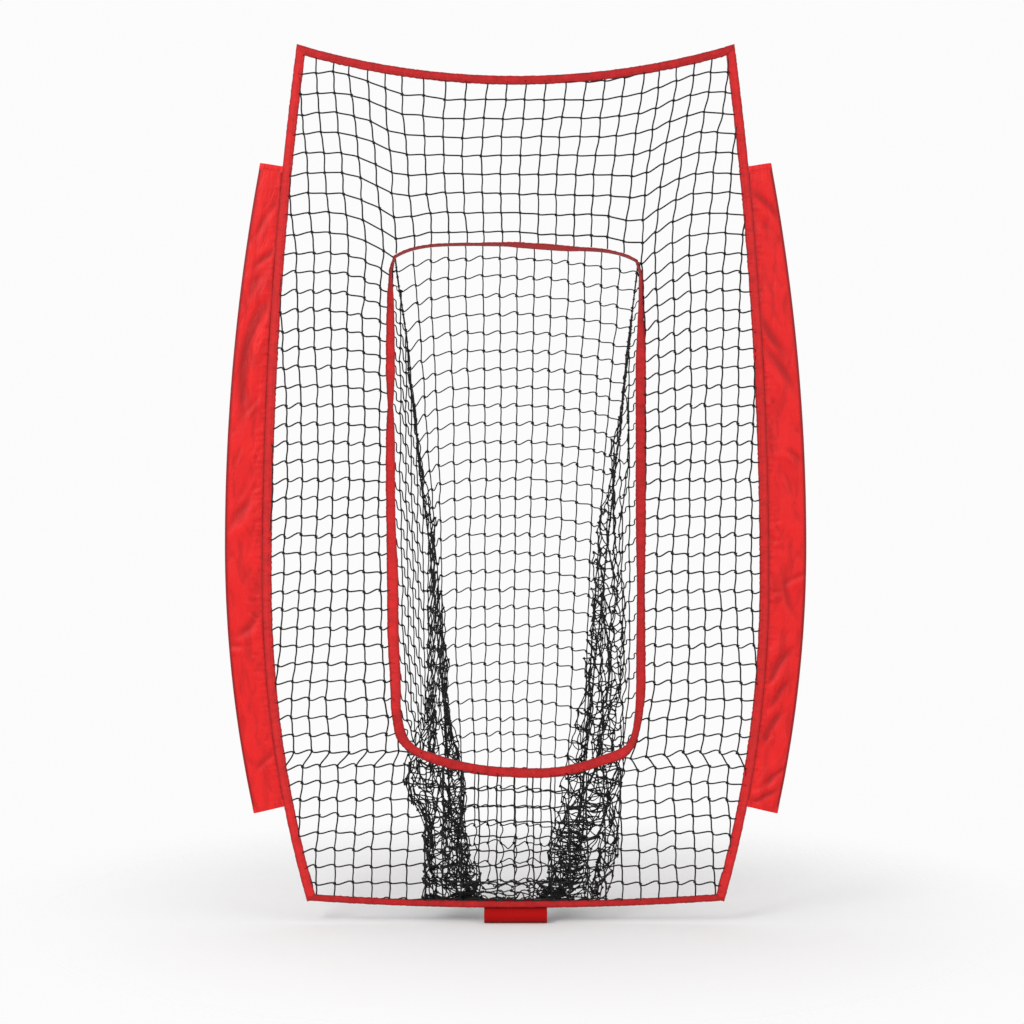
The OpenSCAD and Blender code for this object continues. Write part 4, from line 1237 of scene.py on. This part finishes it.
# lacing down the pocket's back edges
lacing = {
    "strand": .0013, "turn": .011, "offset": .0012, "step": .0022,
    "wrap": .0030, "wrapTwine": .0010, "wrapLong": .0035, "wrapGap": .0235,
}
for node, edge in (("pocket_left_lacing", back0), ("pocket_right_lacing", backLast)):
    path, places = evenly(flat[index[:pocket["backRows"] + 1, edge]], lacing["step"])
    tangent = unit(np.gradient(path, axis=0))
    first = unit(np.cross(tangent, (0, 1.0, .3)))
    second = np.cross(tangent, first)
    parts = []
    for strand in (0, 1):
        spin = (places / lacing["turn"] + strand / 2) * 2 * math.pi
        around = np.cos(spin)[:, None] * first + np.sin(spin)[:, None] * second
        helix = path + lacing["offset"] * around
        parts.append(tubeParts(helix[None], lacing["strand"], 6))
    wraps = []
    t = np.linspace(0, 2 * math.pi, 13)
    for place in np.arange(.02, places[-1] - .01, lacing["wrapGap"]):
        spot = np.interp(place + lacing["wrapLong"] * t / (2 * math.pi), places, np.arange(len(path)))
        low = np.clip(spot.astype(int), 0, len(path) - 2)
        share = (spot - low)[:, None]
        mid = path[low] * (1 - share) + path[low + 1] * share
        around = np.cos(t)[:, None] * first[low] + np.sin(t)[:, None] * second[low]
        wraps.append(mid + lacing["wrap"] * around)
    parts.append(tubeParts(np.array(wraps), lacing["wrapTwine"], 5))
    cord = makeJoined(node + "_cord", parts, lacingLook)
    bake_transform(cord)
    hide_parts(node)
print("lacing threaded")

# pieces kept from the CAD
keptLooks = {
    "top_left_pole_pocket": webbingLook, "top_right_pole_pocket": webbingLook, "loop_tabs": webbingLook,
    "bottom_left_loop": elasticLook, "bottom_right_loop": elasticLook, "base_strap": strapLook,
    "strap_flap": strapLook, "strap_hook_patch": hookLook, "strap_loop_patch": loopLook,
}
for node, look in keptLooks.items():
    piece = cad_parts[node]
    piece.data.materials.clear()
    piece.data.materials.append(look)

# stage, light and camera
stage = {
    "floor": -.0187, "floorColour": .90, "floorRadius": 2.2, "fadeFrom": .55, "fadeTo": 1.55,
    "distance": 4.8, "seen": 2.540, "middle": (-.009, 1.000), "sensor": 36,
    "white": .97, "worldLow": .30, "worldHigh": .86, "key": 105, "fill": 34,
}
bpy.ops.mesh.primitive_circle_add(vertices=96, radius=stage["floorRadius"], fill_type="NGON",
                                  location=(0, .2, stage["floor"]))
floor = bpy.context.object
floor.name = "floor"
floorLook, floorTree, floorShader = newMaterial("pale floor", (stage["floorColour"],) * 3, .9)
floorShader.inputs["Specular IOR Level"].default_value = .1
spot = addNode(floorTree, "ShaderNodeTexCoord")
far = addNode(floorTree, "ShaderNodeVectorMath", {0: spot.outputs["Object"]}, operation="LENGTH")
reach = far.outputs["Value"]
fade = mapRange(floorTree, reach, "SMOOTHSTEP", fromMin=stage["fadeFrom"], fromMax=stage["fadeTo"])
clear = addNode(floorTree, "ShaderNodeBsdfTransparent")
feeds = {0: fade, 1: floorShader.outputs[0], 2: clear.outputs[0]}
mixed = addNode(floorTree, "ShaderNodeMixShader", feeds)
floorTree.links.new(mixed.outputs[0], floorTree.nodes["Material Output"].inputs["Surface"])
floor.data.materials.append(floorLook)


def areaLight(name, place, aim, size, power):
    light = bpy.data.lights.new(name, "AREA")
    light.shape, light.size, light.energy = "DISK", size, power
    lamp = bpy.data.objects.new(name, light)
    lamp.location = place
    direction = np.array(aim) - np.array(place)
    lamp.rotation_euler = mathutils.Vector(direction).to_track_quat("-Z", "Y").to_euler()
    bpy.context.scene.collection.objects.link(lamp)


areaLight("key", (-2.6, -3.6, 3.4), (0, 0, 1.1), 2.2, stage["key"])
areaLight("fill", (3.2, -3.4, 2.0), (0, 0, 1.0), 2.6, stage["fill"])

world = bpy.data.worlds.new("studio")
bpy.context.scene.world = world
world.use_nodes = True
tree = world.node_tree
tree.nodes.clear()
seen = addNode(tree, "ShaderNodeBackground", {"Color": (*[stage["white"]] * 3, 1), "Strength": 1.0})
way = addNode(tree, "ShaderNodeTexCoord")                # brighter from above than from below
height = addNode(tree, "ShaderNodeSeparateXYZ", {0: way.outputs["Generated"]}).outputs["Z"]
level = mapRange(tree, height, fromMin=-1.0, toMin=stage["worldLow"], toMax=stage["worldHigh"])
lit = addNode(tree, "ShaderNodeBackground", {"Color": (1, 1, 1, 1), "Strength": level})
ray = addNode(tree, "ShaderNodeLightPath").outputs
white = calculate(tree, "MAXIMUM", ray["Is Camera Ray"], ray["Is Glossy Ray"])
white = calculate(tree, "MAXIMUM", white, ray["Is Transmission Ray"])
pick = addNode(tree, "ShaderNodeMixShader", {0: white, 1: lit.outputs[0], 2: seen.outputs[0]})
addNode(tree, "ShaderNodeOutputWorld", {"Surface": pick.outputs[0]})

camera = bpy.data.cameras.new("camera")
eye = bpy.data.objects.new("camera", camera)
bpy.context.scene.collection.objects.link(eye)
camera.sensor_width = stage["sensor"]
camera.lens = stage["sensor"] * stage["distance"] / stage["seen"]
eye.location = (stage["middle"][0], -stage["distance"], stage["middle"][1])
eye.rotation_euler = (math.pi / 2, 0, 0)
bpy.context.scene.camera = eye
bpy.context.scene.view_settings.view_transform = "Standard"
print("stage set")
